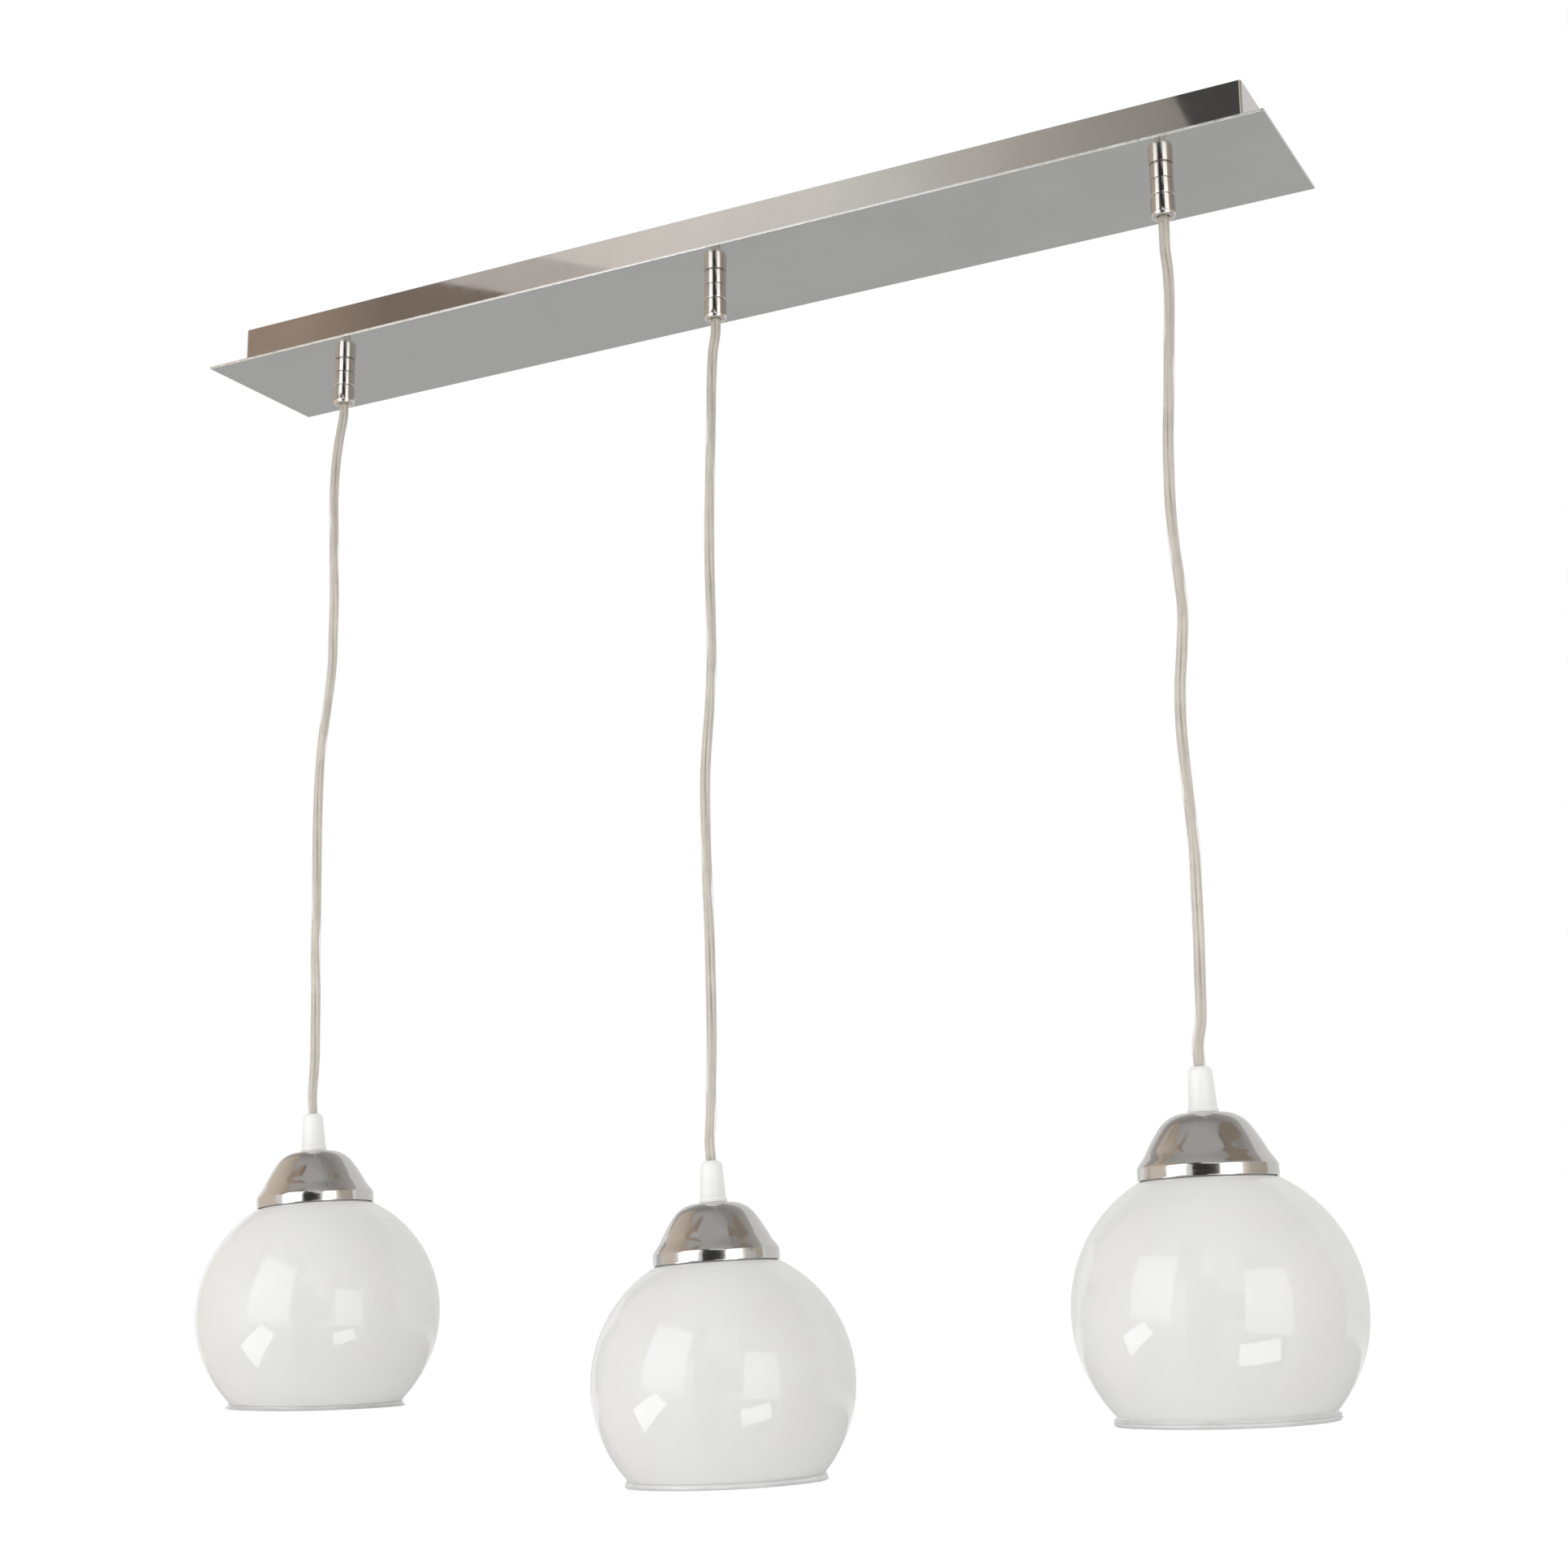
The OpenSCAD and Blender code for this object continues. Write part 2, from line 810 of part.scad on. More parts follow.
// The lamp's screw shell, and the centre contact in the block's recess above it
module lamp_contacts(i) {
  color("goldenrod")
    in_head(i) {
      translate([0, 0, shell_bottom])
        ring_of(shell_r + shell_t, shell_r, shell_h);
      translate([0, 0, shell_top + contact_above_shell])
        union() {
          cylinder(r = contact_r, h = contact_t);
          cylinder(r = contact_stalk_r, h = contact_recess_h - contact_above_shell);
        }
    }
}

module holder_skirt(i) {
  color("whitesmoke")
    in_head(i)
      union() {
        translate([0, 0, skirt_bottom])
          ring_of(skirt_d / 2, skirt_bore_r, skirt_h + flange_t);
        translate([0, 0, flange_under])
          ring_of(flange_d / 2, skirt_bore_r, flange_t);
      }
}

module shade_ring(i) {
  color("whitesmoke")
    in_head(i)
      translate([0, 0, ring_top - ring_h])
        difference() {
          ring_of(ring_r, ring_bore_r, ring_h);
          for (k = [0:ring_notches - 1])
            rotate([0, 0, 360 * k / ring_notches])
              translate([ring_r, 0, -past])
                cylinder(r = notch_r, h = past + ring_h - notch_stop);
        }
}

// The glass is a sphere cut off at its throat, with a beaded rim
module glass_body(throat_r) {
  throat_z = -sqrt(pow(shade_r, 2) - pow(throat_r, 2));
  rim_z = throat_z - rim_h;
  bead_x = throat_r + bead_out - bead_r;
  rotate_extrude()
    union() {
      intersection() {
        difference() {
          circle(r = shade_r);
          circle(r = shade_r - glass_t);
        }
        translate([0, throat_z])
          square([shade_r, 2 * shade_r]);
      }
      translate([throat_r - glass_t, rim_z + bead_r])
        square([glass_t, rim_h - bead_r + glass_lap]);
      for (z = [bead_r, bead_r + bead_step])
        translate([bead_x, rim_z + z])
          circle(r = bead_r);
      translate([bead_x - bead_r, rim_z + bead_r])
        square([2 * bead_r, bead_step]);
    }
}

module shade(i) {
  color("white")
    in_head(i)
      difference() {
        rotate([0, glass_tilts[i], 0])
          glass_body(throat_ds[i] / 2);
        cylinder(r = neck_r, h = 2 * shade_r);
      }
}

canopy_plate();
canopy_frame();
ceiling_bracket();
side_screws();
terminal_block();
terminal_clamps();
terminal_screws();
block_screw();
earth_screw();
earth_wire();
live_wires();
neutral_wires();
grip_body(LEFT);  // grip_body_left
grip_body(MIDDLE);  // grip_body_middle
grip_body(RIGHT);  // grip_body_right
gland_nut(LEFT);  // gland_nut_left
gland_nut(MIDDLE);  // gland_nut_middle
gland_nut(RIGHT);  // gland_nut_right
grip_washers();
grip_locknuts();
clamp_sleeves();
cord_tails();
cord_flex(LEFT);  // cord_flex_left
cord_flex(MIDDLE);  // cord_flex_middle
cord_flex(RIGHT);  // cord_flex_right
cord(LEFT);  // cord_left
cord(MIDDLE);  // cord_middle
cord(RIGHT);  // cord_right
sleeve(LEFT);  // sleeve_left
sleeve(MIDDLE);  // sleeve_middle
sleeve(RIGHT);  // sleeve_right
nipple(LEFT);  // nipple_left
nipple(MIDDLE);  // nipple_middle
nipple(RIGHT);  // nipple_right
cap(LEFT);  // cap_left
cap(MIDDLE);  // cap_middle
cap(RIGHT);  // cap_right
holder_dome(LEFT);  // holder_dome_left
holder_dome(MIDDLE);  // holder_dome_middle
holder_dome(RIGHT);  // holder_dome_right
contact_block(LEFT);  // contact_block_left
contact_block(MIDDLE);  // contact_block_middle
contact_block(RIGHT);  // contact_block_right
lead_wires(LEFT);  // lead_wires_left
lead_wires(MIDDLE);  // lead_wires_middle
lead_wires(RIGHT);  // lead_wires_right
lamp_contacts(LEFT);  // lamp_contacts_left
lamp_contacts(MIDDLE);  // lamp_contacts_middle
lamp_contacts(RIGHT);  // lamp_contacts_right
holder_skirt(LEFT);  // holder_skirt_left
holder_skirt(MIDDLE);  // holder_skirt_middle
holder_skirt(RIGHT);  // holder_skirt_right
shade_ring(LEFT);  // shade_ring_left
shade_ring(MIDDLE);  // shade_ring_middle
shade_ring(RIGHT);  // shade_ring_right
shade(LEFT);  // shade_left
shade(MIDDLE);  // shade_middle
shade(RIGHT);  // shade_right
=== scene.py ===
"""Looks of a three-shade pendant light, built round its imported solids.

The frame is the solids' own: the origin is on the ceiling above the middle of the canopy,
X runs along the canopy, -Y points at the viewer and Z points up. The light's sizes are in
millimetres and become metres where a mesh is made. The camera and the studio are in metres.
"""

import math

import bmesh
import bpy
from mathutils import Matrix, Vector


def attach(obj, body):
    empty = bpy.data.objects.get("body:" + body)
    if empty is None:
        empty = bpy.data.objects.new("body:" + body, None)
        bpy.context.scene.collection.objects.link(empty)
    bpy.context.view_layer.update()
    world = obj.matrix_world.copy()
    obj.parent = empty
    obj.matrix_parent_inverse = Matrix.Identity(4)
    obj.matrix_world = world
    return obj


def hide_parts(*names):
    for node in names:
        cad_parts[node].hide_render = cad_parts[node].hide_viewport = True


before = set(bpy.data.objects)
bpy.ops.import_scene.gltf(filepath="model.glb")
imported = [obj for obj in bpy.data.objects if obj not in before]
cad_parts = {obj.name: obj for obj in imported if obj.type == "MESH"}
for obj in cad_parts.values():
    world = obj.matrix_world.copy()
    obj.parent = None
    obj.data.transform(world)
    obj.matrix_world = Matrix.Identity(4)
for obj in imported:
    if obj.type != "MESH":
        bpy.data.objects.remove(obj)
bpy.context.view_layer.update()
MM = 0.001

# Clearances: between threads, round a stem, and where curved faces lie near
THREAD_GAP, HOLE_GAP, SEAT_GAP = 0.05, 0.2, 0.3

# Canopy: the plate, and the box that stands on it and ends just off the ceiling
PLATE_L, PLATE_W, PLATE_T = 720, 102, 1.5
PLATE_UNDER = -31
PLATE_TOP = PLATE_UNDER + PLATE_T
END_MARGIN, SIDE_MARGIN = 16, 17
BOX_L, BOX_W = PLATE_L - 2 * END_MARGIN, PLATE_W - 2 * SIDE_MARGIN
BOX_T, BOX_TOP = 1, -0.5

# Wiring: the terminal block hangs under the bracket's strip, the earth screw stands beside it
STRIP_T = 1.5
BLOCK_X, BLOCK_L, BLOCK_H, POLE_PITCH = 60, 20, 14, 11
POLE_Z = -STRIP_T - BLOCK_H / 2
WIRE_R, WIRE_GAP = 1, 0.1
WIRE_BEND, WIRE_SPREAD, WIRE_SETTLED, WIRE_BITE = 5, 16, 30, 5
EARTH_REACH, EARTH_SCREW_R = 27, 2

# Grips: the cord bends at the pivot just inside the gland nut's mouth
GRIP_INSET = 73
GRIP_X = PLATE_L / 2 - GRIP_INSET
STEM_R, STEM_RISE = 5, 9
COLLAR_R, COLLAR_H = 6.6, 9.3
GLAND_R, GLAND_H, MOUTH_R = 6.9, 12.6, 4.1
SEAM, PIVOT_RISE = 0.3, 0.3
STEM_TOP = PLATE_TOP + STEM_RISE
COLLAR_UNDER = PLATE_UNDER - COLLAR_H
GLAND_TOP = COLLAR_UNDER - SEAM
GLAND_UNDER = GLAND_TOP - GLAND_H
PIVOT_Z = GLAND_UNDER + PIVOT_RISE

# Cords: a clear jacket over two cores, which wind round each other once in CORE_TURN. The
# stripped ends, whose cores lie CORE_Y off the middle, stand a little out of the stems. At
# the head a cord runs straight from ENTRY_RUN above the sleeve.
CORD_R = 3
CORD_BORE_R = CORD_R + SEAT_GAP
CORE_R, CORE_OUT, CORE_TURN = 1.3, 1.32, 260
CORE_Y, TAIL_RISE, ENTRY_RUN = 1.5, 3.5, 12
TAIL_TOP = STEM_TOP + TAIL_RISE

# Heads: heights are above the middle of the shade, along the head's own axis
BALANCE_ARM = 30
SHADE_R, GLASS_T, NECK_R, RIM_H = 74, 2.6, 21, 5.2
CAP_R, CAP_H, CAP_T = 35.8, 33.3, 0.9
CAP_SEAT = math.sqrt(SHADE_R**2 - (CAP_R - CAP_T) ** 2) + SEAT_GAP
CAP_TOP = CAP_SEAT + CAP_H
SLEEVE_H, SLEEVE_SOCKET = 23.6, 12
SLEEVE_TOP = CAP_TOP + SLEEVE_H
NIPPLE_L, NIPPLE_CLEAR, CORD_OUT = 24, 1, 0.5
NIPPLE_TOP = CAP_TOP + SLEEVE_SOCKET - NIPPLE_CLEAR
CORD_END = NIPPLE_TOP - NIPPLE_L - CORD_OUT

# Lampholder: its flange lies on the glass, and the lamp's screw shell stands in its skirt
FLANGE_R, FLANGE_T, FLANGE_GAP = 25, 2, 0.1
FLANGE_UNDER = math.sqrt(SHADE_R**2 - NECK_R**2) + FLANGE_GAP
SKIRT_R, SKIRT_H = 19.6, 33
SKIRT_BOTTOM = FLANGE_UNDER - SKIRT_H
SHELL_R, SHELL_T, SHELL_H, SHELL_INSET = 13.3, 0.6, 17, 2
SHELL_BOTTOM = SKIRT_BOTTOM + SHELL_INSET
SKIRT_BORE_R = SHELL_R + SHELL_T + SEAT_GAP

# x is where a head's grip stands, and drop how far its shade's middle hangs below the ceiling.
# lean and tilt are in degrees: the head's own, and the glass's back from it.
# throat is the glass's radius above its rim. The rim's edge rises by uneven on its high side,
# which is at so many degrees, and its outline runs from its outer top round its foot to its
# inner side: (out from the throat, above the rim's foot).
# route is the cord's, as in the solids: (across from its grip, height).
HEADS = {
    "left": {
        "x": -GRIP_X, "drop": 648, "lean": 4.5, "tilt": 4.5, "throat": 52.5,
        "uneven": 1.9, "high_side": -51,
        "rim": [
            (0.3, 5), (0, 4.2), (0, 3.2), (0.3, 2.4), (0.9, 1.6), (1.6, 1), (1.8, 0.7),
            (1.6, 0.4), (1, 0.1), (0, 0), (-1, 0.2), (-1.6, 0.8), (-2, 2),
        ],
        "route": [
            (0, -62), (-2, -72), (-4, -84), (-5.5, -100), (-6, -120), (-5, -142),
            (-4, -165), (-3, -188), (-3, -211), (-3, -232), (-5, -252), (-8, -274),
            (-10, -295), (-11, -317), (-11, -339), (-10.5, -361), (-10, -383),
            (-9.5, -405), (-9, -427), (-8, -449), (-7.5, -471), (-7, -492),
        ],
    },
    "middle": {
        "x": 0, "drop": 686, "lean": 3.5, "tilt": 1.5, "throat": 54.5,
        "uneven": 2.1, "high_side": -61,
        "rim": [
            (0.4, 5.1), (0.9, 4.9), (1.2, 4.4), (1.4, 3.4), (1.6, 2.2), (1.8, 1.2), (1.6, 0.5),
            (1, 0.1), (0, 0), (-0.9, 0.2), (-1.4, 0.8), (-1.6, 2),
        ],
        "route": [
            (0, -62), (-2, -74), (-3, -92), (-3.5, -114), (-4, -137), (-4.5, -160),
            (-5, -183), (-5, -206), (-4.5, -229), (-4, -252), (-4, -274), (-5, -295),
            (-7, -317), (-8.5, -339), (-8.5, -362), (-8, -385), (-7, -408), (-6, -431),
            (-5.5, -454), (-5, -477), (-5, -500), (-5.5, -522), (-5.5, -538),
        ],
    },
    "right": {
        "x": GRIP_X, "drop": 647, "lean": 1.8, "tilt": 0, "throat": 54.5,
        "uneven": 0.7, "high_side": -73,
        "rim": [
            (0.4, 4.6), (1, 4.4), (1.5, 3.9), (1.6, 3.3), (1.3, 2.8), (1.6, 2.3), (1.8, 1.7),
            (1.6, 0.9), (1, 0.3), (0.1, 0), (-0.8, 0.3), (-1.4, 0.9), (-1.6, 2),
        ],
        "route": [
            (0, -62), (0, -73), (1, -86), (1, -101), (0, -120), (-1, -140), (-2, -160),
            (-3.5, -182), (-4, -204), (-4, -224), (-3, -244), (-1, -264), (0, -282),
            (-1.5, -302), (-3.5, -322), (-4, -344), (-3, -366), (-1.5, -388), (0, -410),
            (0, -434), (0, -458), (-0.5, -480), (-1, -500),
        ],
    },
}

# Camera, at the photograph's place: turned from the view along Y, then raised, then rolled
CAMERA_AT = (0.6429, -1.1412, -0.6226)
CAMERA_YAW, CAMERA_PITCH, CAMERA_ROLL = -27.69, 11.96, -0.63
SENSOR_W, LENS = 36, 52.21

# Studio, in metres
FLOOR_Z, CEILING_Z, ROOM_R = -2.35, 2.4, 9
LEFT_X, RIGHT_X, FRONT_Y, CAMERA_SIDE_Y = -1.7, 1.5, -2.0, -1.45
BROWN = (0.46, 0.36, 0.28)


# Outlines, as lists of points (radius, height) or (x, y)


def arc(centre, r, start, end, steps):
    angles = [math.radians(start + (end - start) * k / steps) for k in range(steps + 1)]
    return [(centre[0] + r * math.cos(a), centre[1] + r * math.sin(a)) for a in angles]


def circle(r, sides, x=0):
    """The corners of an even polygon round (x, 0)."""
    return arc((x, 0), r, 0, 360, sides)[:-1]


def curve(p, corner, q, steps):
    """Points from p to q on a curve that sets out towards the corner and arrives from it."""
    p, corner, q = Vector(p), Vector(corner), Vector(q)
    stops = [k / steps for k in range(steps + 1)]
    return [tuple((1 - t) ** 2 * p + 2 * t * (1 - t) * corner + t**2 * q) for t in stops]


def sheet(points, t):
    """The outline and the same outline moved t inwards, joined into a closed sheet."""
    last = len(points) - 1
    inner = []
    for k in range(last, -1, -1):
        along = Vector(points[min(k + 1, last)]) - Vector(points[max(k - 1, 0)])
        inner.append(tuple(Vector(points[k]) + t * Vector((along.y, -along.x)).normalized()))
    return list(points) + inner


def rounded(points, r, steps=3):
    """The closed outline with each corner rounded, by r or as far as its sides allow."""
    made = []
    for k, p in enumerate(points):
        p, a, b = Vector(p), Vector(points[k - 1]), Vector(points[(k + 1) % len(points)])
        start = p + (a - p).normalized() * min(r, 0.45 * (a - p).length)
        end = p + (b - p).normalized() * min(r, 0.45 * (b - p).length)
        made += curve(start, p, end, steps)
    return made


def smooth_line(points, steps):
    """A smooth line through all the vectors, with so many steps from one to the next."""
    ends = [2 * points[0] - points[1], *points, 2 * points[-1] - points[-2]]
    made = [points[0]]
    for a, b, c, d in zip(ends, ends[1:], ends[2:], ends[3:]):
        for k in range(1, steps + 1):
            t = k / steps
            made.append(
                0.5 * (2 * b + (c - a) * t + (2 * a - 5 * b + 4 * c - d) * t**2
                       + (3 * b - a - 3 * c + d) * t**3)
            )
    return made


# Meshes, as points and faces


def bands(rings, sides, closed):
    """Faces from each ring of points to the next, and if closed from the last to the first."""
    faces = []
    for k in range(rings if closed else rings - 1):
        a, b = k * sides, (k + 1) % rings * sides
        for s in range(sides):
            t = (s + 1) % sides
            faces.append((a + s, a + t, b + t, b + s))
    return faces


def around(r, z, angle):
    return (r * math.cos(angle), r * math.sin(angle), z)


def spin(outline, sides=96, place=around):
    """Revolves a closed outline about Z. place(r, z, angle) says where each point goes."""
    angles = [2 * math.pi * s / sides for s in range(sides)]
    points = [place(r, z, a) for r, z in outline for a in angles]
    return points, bands(len(outline), sides, closed=True)


def sweep(path, r, sides, out=0.0, turn=0.0):
    """A tube along a path that nowhere runs along Y, closed at both ends.

    The tube's middle runs at the distance out from the path, and winds round it by turn
    radians for each millimetre."""
    points, travelled, last = [], 0.0, len(path) - 1
    for k, p in enumerate(path):
        before, after = path[max(k - 1, 0)], path[min(k + 1, last)]
        along = (after - before).normalized()
        across = along.cross(Vector((0, 1, 0))).normalized()
        level = across.cross(along)
        travelled += (p - before).length
        side = math.cos(turn * travelled) * across + math.sin(turn * travelled) * level
        for s in range(sides):
            a = 2 * math.pi * s / sides
            points.append(p + out * side + r * (math.cos(a) * across + math.sin(a) * level))
    ends = [tuple(range(sides - 1, -1, -1)), tuple(range(last * sides, len(points)))]
    return points, bands(len(path), sides, closed=False) + ends


def joined(*parts):
    points, faces = [], []
    for more_points, more_faces in parts:
        faces += [tuple(v + len(points) for v in f) for f in more_faces]
        points += more_points
    return points, faces


def slab_with_holes(length, width, z, thickness, holes, chamfer):
    """A plate with round holes, each given as (x, radius).

    Its outline is filled between the holes, raised to a slab and chamfered all round."""
    flat = bmesh.new()
    edges, hole_sides = [], 48
    x, y = length / 2, width / 2
    corners = [(-x, -y), (x, -y), (x, y), (-x, y)]
    for loop in [corners] + [circle(hole_r, hole_sides, hole_x) for hole_x, hole_r in holes]:
        ring = [flat.verts.new((*p, z)) for p in loop]
        edges += [flat.edges.new((ring[k - 1], ring[k])) for k in range(len(ring))]
    bmesh.ops.triangle_fill(flat, edges=edges, use_beauty=True)
    bmesh.ops.dissolve_limit(
        flat, angle_limit=0.01, verts=flat.verts, edges=flat.edges, delimit=set()
    )
    bmesh.ops.triangulate(flat, faces=flat.faces)
    raised = bmesh.ops.extrude_face_region(flat, geom=flat.faces[:])
    top = [v for v in raised["geom"] if isinstance(v, bmesh.types.BMVert)]
    bmesh.ops.translate(flat, verts=top, vec=(0, 0, thickness))
    bmesh.ops.recalc_face_normals(flat, faces=flat.faces)
    rims = [e for e in flat.edges if e.calc_face_angle(0) > math.radians(60)]
    bmesh.ops.bevel(
        flat, geom=rims, offset=chamfer, segments=1, affect="EDGES", clamp_overlap=True
    )
    flat.verts.index_update()
    points = [tuple(v.co) for v in flat.verts]
    faces = [tuple(v.index for v in f.verts) for f in flat.faces]
    flat.free()
    return points, faces


def bent_loop(length, width, bend_r):
    """A rectangle with round corners. A point just off each corner keeps the sides flat."""
    made, off = [], 2.5
    x, y = length / 2 - bend_r, width / 2 - bend_r
    for centre, start in (((x, y), 0), ((-x, y), 90), ((-x, -y), 180), ((x, -y), 270)):
        bend = [Vector(p) for p in arc(centre, bend_r, start, start + 90, 6)]
        cos, sin = math.cos(math.radians(start)), math.sin(math.radians(start))
        made += [bend[0] + off * Vector((sin, -cos)), *bend, bend[-1] - off * Vector((cos, sin))]
    return made


def folded_ring(length, width, wall, low, high, bend_r, edge):
    """A strip folded round into four sides, its wall's edges broken by a small chamfer."""
    wall_outline = [
        (edge, low), (0, low + edge), (0, high - edge), (edge, high),
        (wall - edge, high), (wall, high - edge), (wall, low + edge), (wall - edge, low),
    ]
    loops = [
        bent_loop(length - 2 * inset, width - 2 * inset, max(bend_r - inset, 0.3))
        for inset, z in wall_outline
    ]
    points = [(*p, z) for loop, (inset, z) in zip(loops, wall_outline) for p in loop]
    return points, bands(len(loops), len(loops[0]), closed=True)


# Pieces of the scene


def new_object(name, data):
    made = bpy.data.objects.new(name, data)
    bpy.context.scene.collection.objects.link(made)
    return made


def open_mesh(mesh, weld):
    """The mesh for editing, with points nearer than weld metres made one."""
    opened = bmesh.new()
    opened.from_mesh(mesh)
    bmesh.ops.remove_doubles(opened, verts=opened.verts, dist=weld)
    return opened


def close_mesh(opened, mesh, sharp_angle):
    opened.to_mesh(mesh)
    opened.free()
    mesh.polygons.foreach_set("use_smooth", [True] * len(mesh.polygons))
    mesh.set_sharp_from_angle(angle=math.radians(sharp_angle))


def dressed(name, mesh, look, body, node, at=Matrix()):
    """Puts a mesh in the scene as a piece of the light, in place of a solid."""
    made = new_object(name, mesh)
    made.matrix_world = at
    mesh.materials.append(look)
    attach(made, body)
    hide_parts(node)
    return made


def piece(name, shape, look, body, node, at=Matrix(), sharp_angle=30):
    """A piece from points in millimetres and faces."""
    points, faces = shape
    mesh = bpy.data.meshes.new(name)
    mesh.from_pydata([Vector(p) * MM for p in points], [], faces)
    opened = open_mesh(mesh, weld=1e-7)
    bmesh.ops.recalc_face_normals(opened, faces=opened.faces)
    close_mesh(opened, mesh, sharp_angle)
    return dressed(name, mesh, look, body, node, at)


def softened(node, look, body, edge):
    """A finer copy of a solid whose shape is right, with its sharp edges rounded a little."""
    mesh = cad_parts[node].data.copy()
    mesh.materials.clear()
    opened = open_mesh(mesh, weld=1e-6)
    flat, sharp = math.radians(1), math.radians(40)
    bmesh.ops.dissolve_limit(opened, angle_limit=flat, verts=opened.verts, edges=opened.edges)
    corners = [
        e for e in opened.edges if len(e.link_faces) == 2 and e.calc_face_angle() > sharp
    ]
    bmesh.ops.bevel(
        opened, geom=corners, offset=edge * MM, segments=2, affect="EDGES", clamp_overlap=True
    )
    close_mesh(opened, mesh, sharp_angle=25)
    return dressed(node + "_finished", mesh, look, body, node)


def add_camera():
    yaw, pitch, roll = (math.radians(a) for a in (CAMERA_YAW, CAMERA_PITCH, CAMERA_ROLL))
    forward = Vector(
        (math.sin(yaw) * math.cos(pitch), math.cos(yaw) * math.cos(pitch), math.sin(pitch))
    )
    level = Vector((math.cos(yaw), -math.sin(yaw), 0))
    upright = level.cross(forward)
    right = math.cos(roll) * level + math.sin(roll) * upright
    up = right.cross(forward)
    camera = new_object("camera", bpy.data.cameras.new("camera"))
    turn = Matrix((right, up, -forward)).transposed().to_4x4()
    camera.matrix_world = Matrix.Translation(CAMERA_AT) @ turn
    camera.data.sensor_width = SENSOR_W
    camera.data.lens = LENS
    bpy.context.scene.camera = camera


# Materials


def shader_of(look):
    return look.node_tree.nodes["Principled BSDF"]


def feed(look, output, socket):
    look.node_tree.links.new(output, shader_of(look).inputs[socket])


def new_look(name, colour, roughness, metallic=0.0, **fixed):
    """A material whose fixed numbers are set on the shader's own sockets."""
    look = bpy.data.materials.new(name)
    look.use_nodes = True
    inputs = shader_of(look).inputs
    inputs["Base Color"].default_value = (*colour, 1)
    inputs["Roughness"].default_value = roughness
    inputs["Metallic"].default_value = metallic
    for socket, value in fixed.items():
        inputs[socket.replace("_", " ")].default_value = value
    return look


def grain(look, scale, stretch=(1, 1, 1), detail=4.0):
    """A noise over the piece's own coordinates, with scale in grains to the metre."""
    tree = look.node_tree
    place = tree.nodes.new("ShaderNodeTexCoord")
    spread = tree.nodes.new("ShaderNodeMapping")
    spread.inputs["Scale"].default_value = stretch
    noise = tree.nodes.new("ShaderNodeTexNoise")
    noise.inputs["Scale"].default_value = scale
    noise.inputs["Detail"].default_value = detail
    tree.links.new(place.outputs["Object"], spread.inputs["Vector"])
    tree.links.new(spread.outputs["Vector"], noise.inputs["Vector"])
    return noise.outputs["Fac"]


def vary_colour(look, noise, dark, light):
    """Runs the colour from dark to light over the middle of the noise's range."""
    ramp = look.node_tree.nodes.new("ShaderNodeValToRGB")
    for stop, place, colour in zip(ramp.color_ramp.elements, (0.35, 0.65), (dark, light)):
        stop.position = place
        stop.color = (*colour, 1)
    look.node_tree.links.new(noise, ramp.inputs["Fac"])
    feed(look, ramp.outputs["Color"], "Base Color")


def vary_roughness(look, noise, least, most):
    """Runs the roughness from least to most over the middle of the noise's range."""
    span = look.node_tree.nodes.new("ShaderNodeMapRange")
    for socket, value in zip(("From Min", "From Max", "To Min", "To Max"),
                             (0.3, 0.7, least, most)):
        span.inputs[socket].default_value = value
    look.node_tree.links.new(noise, span.inputs["Value"])
    feed(look, span.outputs["Result"], "Roughness")


def emboss(look, noise, depth_mm):
    bump = look.node_tree.nodes.new("ShaderNodeBump")
    bump.inputs["Strength"].default_value = 1
    bump.inputs["Distance"].default_value = depth_mm * MM
    look.node_tree.links.new(noise, bump.inputs["Height"])
    feed(look, bump.outputs["Normal"], "Normal")


def cloud(look, colour, spread, scale):
    """Makes a colour a little darker and lighter from place to place."""
    dark, light = (tuple(min(1.0, c * k) for c in colour) for k in (1 - spread, 1 + spread))
    vary_colour(look, grain(look, scale), dark, light)


def metal(name, colour, roughness, spread=0.04, smears=90, stretch=(1, 1, 1), waves=0.02):
    """Plated or drawn metal: faint cloudy colour, smears in the gloss and a slight unevenness."""
    look = new_look(name, colour, roughness, 1.0)
    cloud(look, colour, spread, scale=14)
    vary_roughness(look, grain(look, smears, stretch), 0.7 * roughness, 1.5 * roughness)
    emboss(look, grain(look, 9, detail=1.0), waves)
    return look


def plastic(name, colour, roughness, spread=0.03, texture=900, depth=0.01, **fixed):
    """Moulded plastic: nearly even colour, a fine mould texture and patches of wear."""
    look = new_look(name, colour, roughness, **fixed)
    cloud(look, colour, spread, scale=60)
    vary_roughness(look, grain(look, 220), 0.85 * roughness, 1.2 * roughness)
    emboss(look, grain(look, texture, detail=2.0), depth)
    return look


def opal_glass():
    """White glass that lets light sink in, with the slow waves of a blown surface."""
    look = new_look("opal_glass", (0.80, 0.80, 0.79), 0.035, IOR=1.52, Subsurface_Weight=0.6)
    inputs = shader_of(look).inputs
    inputs["Subsurface Radius"].default_value = (1, 1, 0.95)
    inputs["Subsurface Scale"].default_value = 4 * MM
    vary_colour(look, grain(look, 22), (0.785, 0.787, 0.775), (0.81, 0.81, 0.80))
    emboss(look, grain(look, 26, detail=1.0), 0.05)
    return look


def rim_glass():
    """The same glass where it is thick and clearer, with finer waves."""
    look = new_look("rim_glass", (0.90, 0.90, 0.89), 0.04, IOR=1.52, Transmission_Weight=0.45)
    vary_colour(look, grain(look, 80), (0.87, 0.875, 0.87), (0.93, 0.93, 0.92))
    emboss(look, grain(look, 60, detail=1.0), 0.08)
    return look


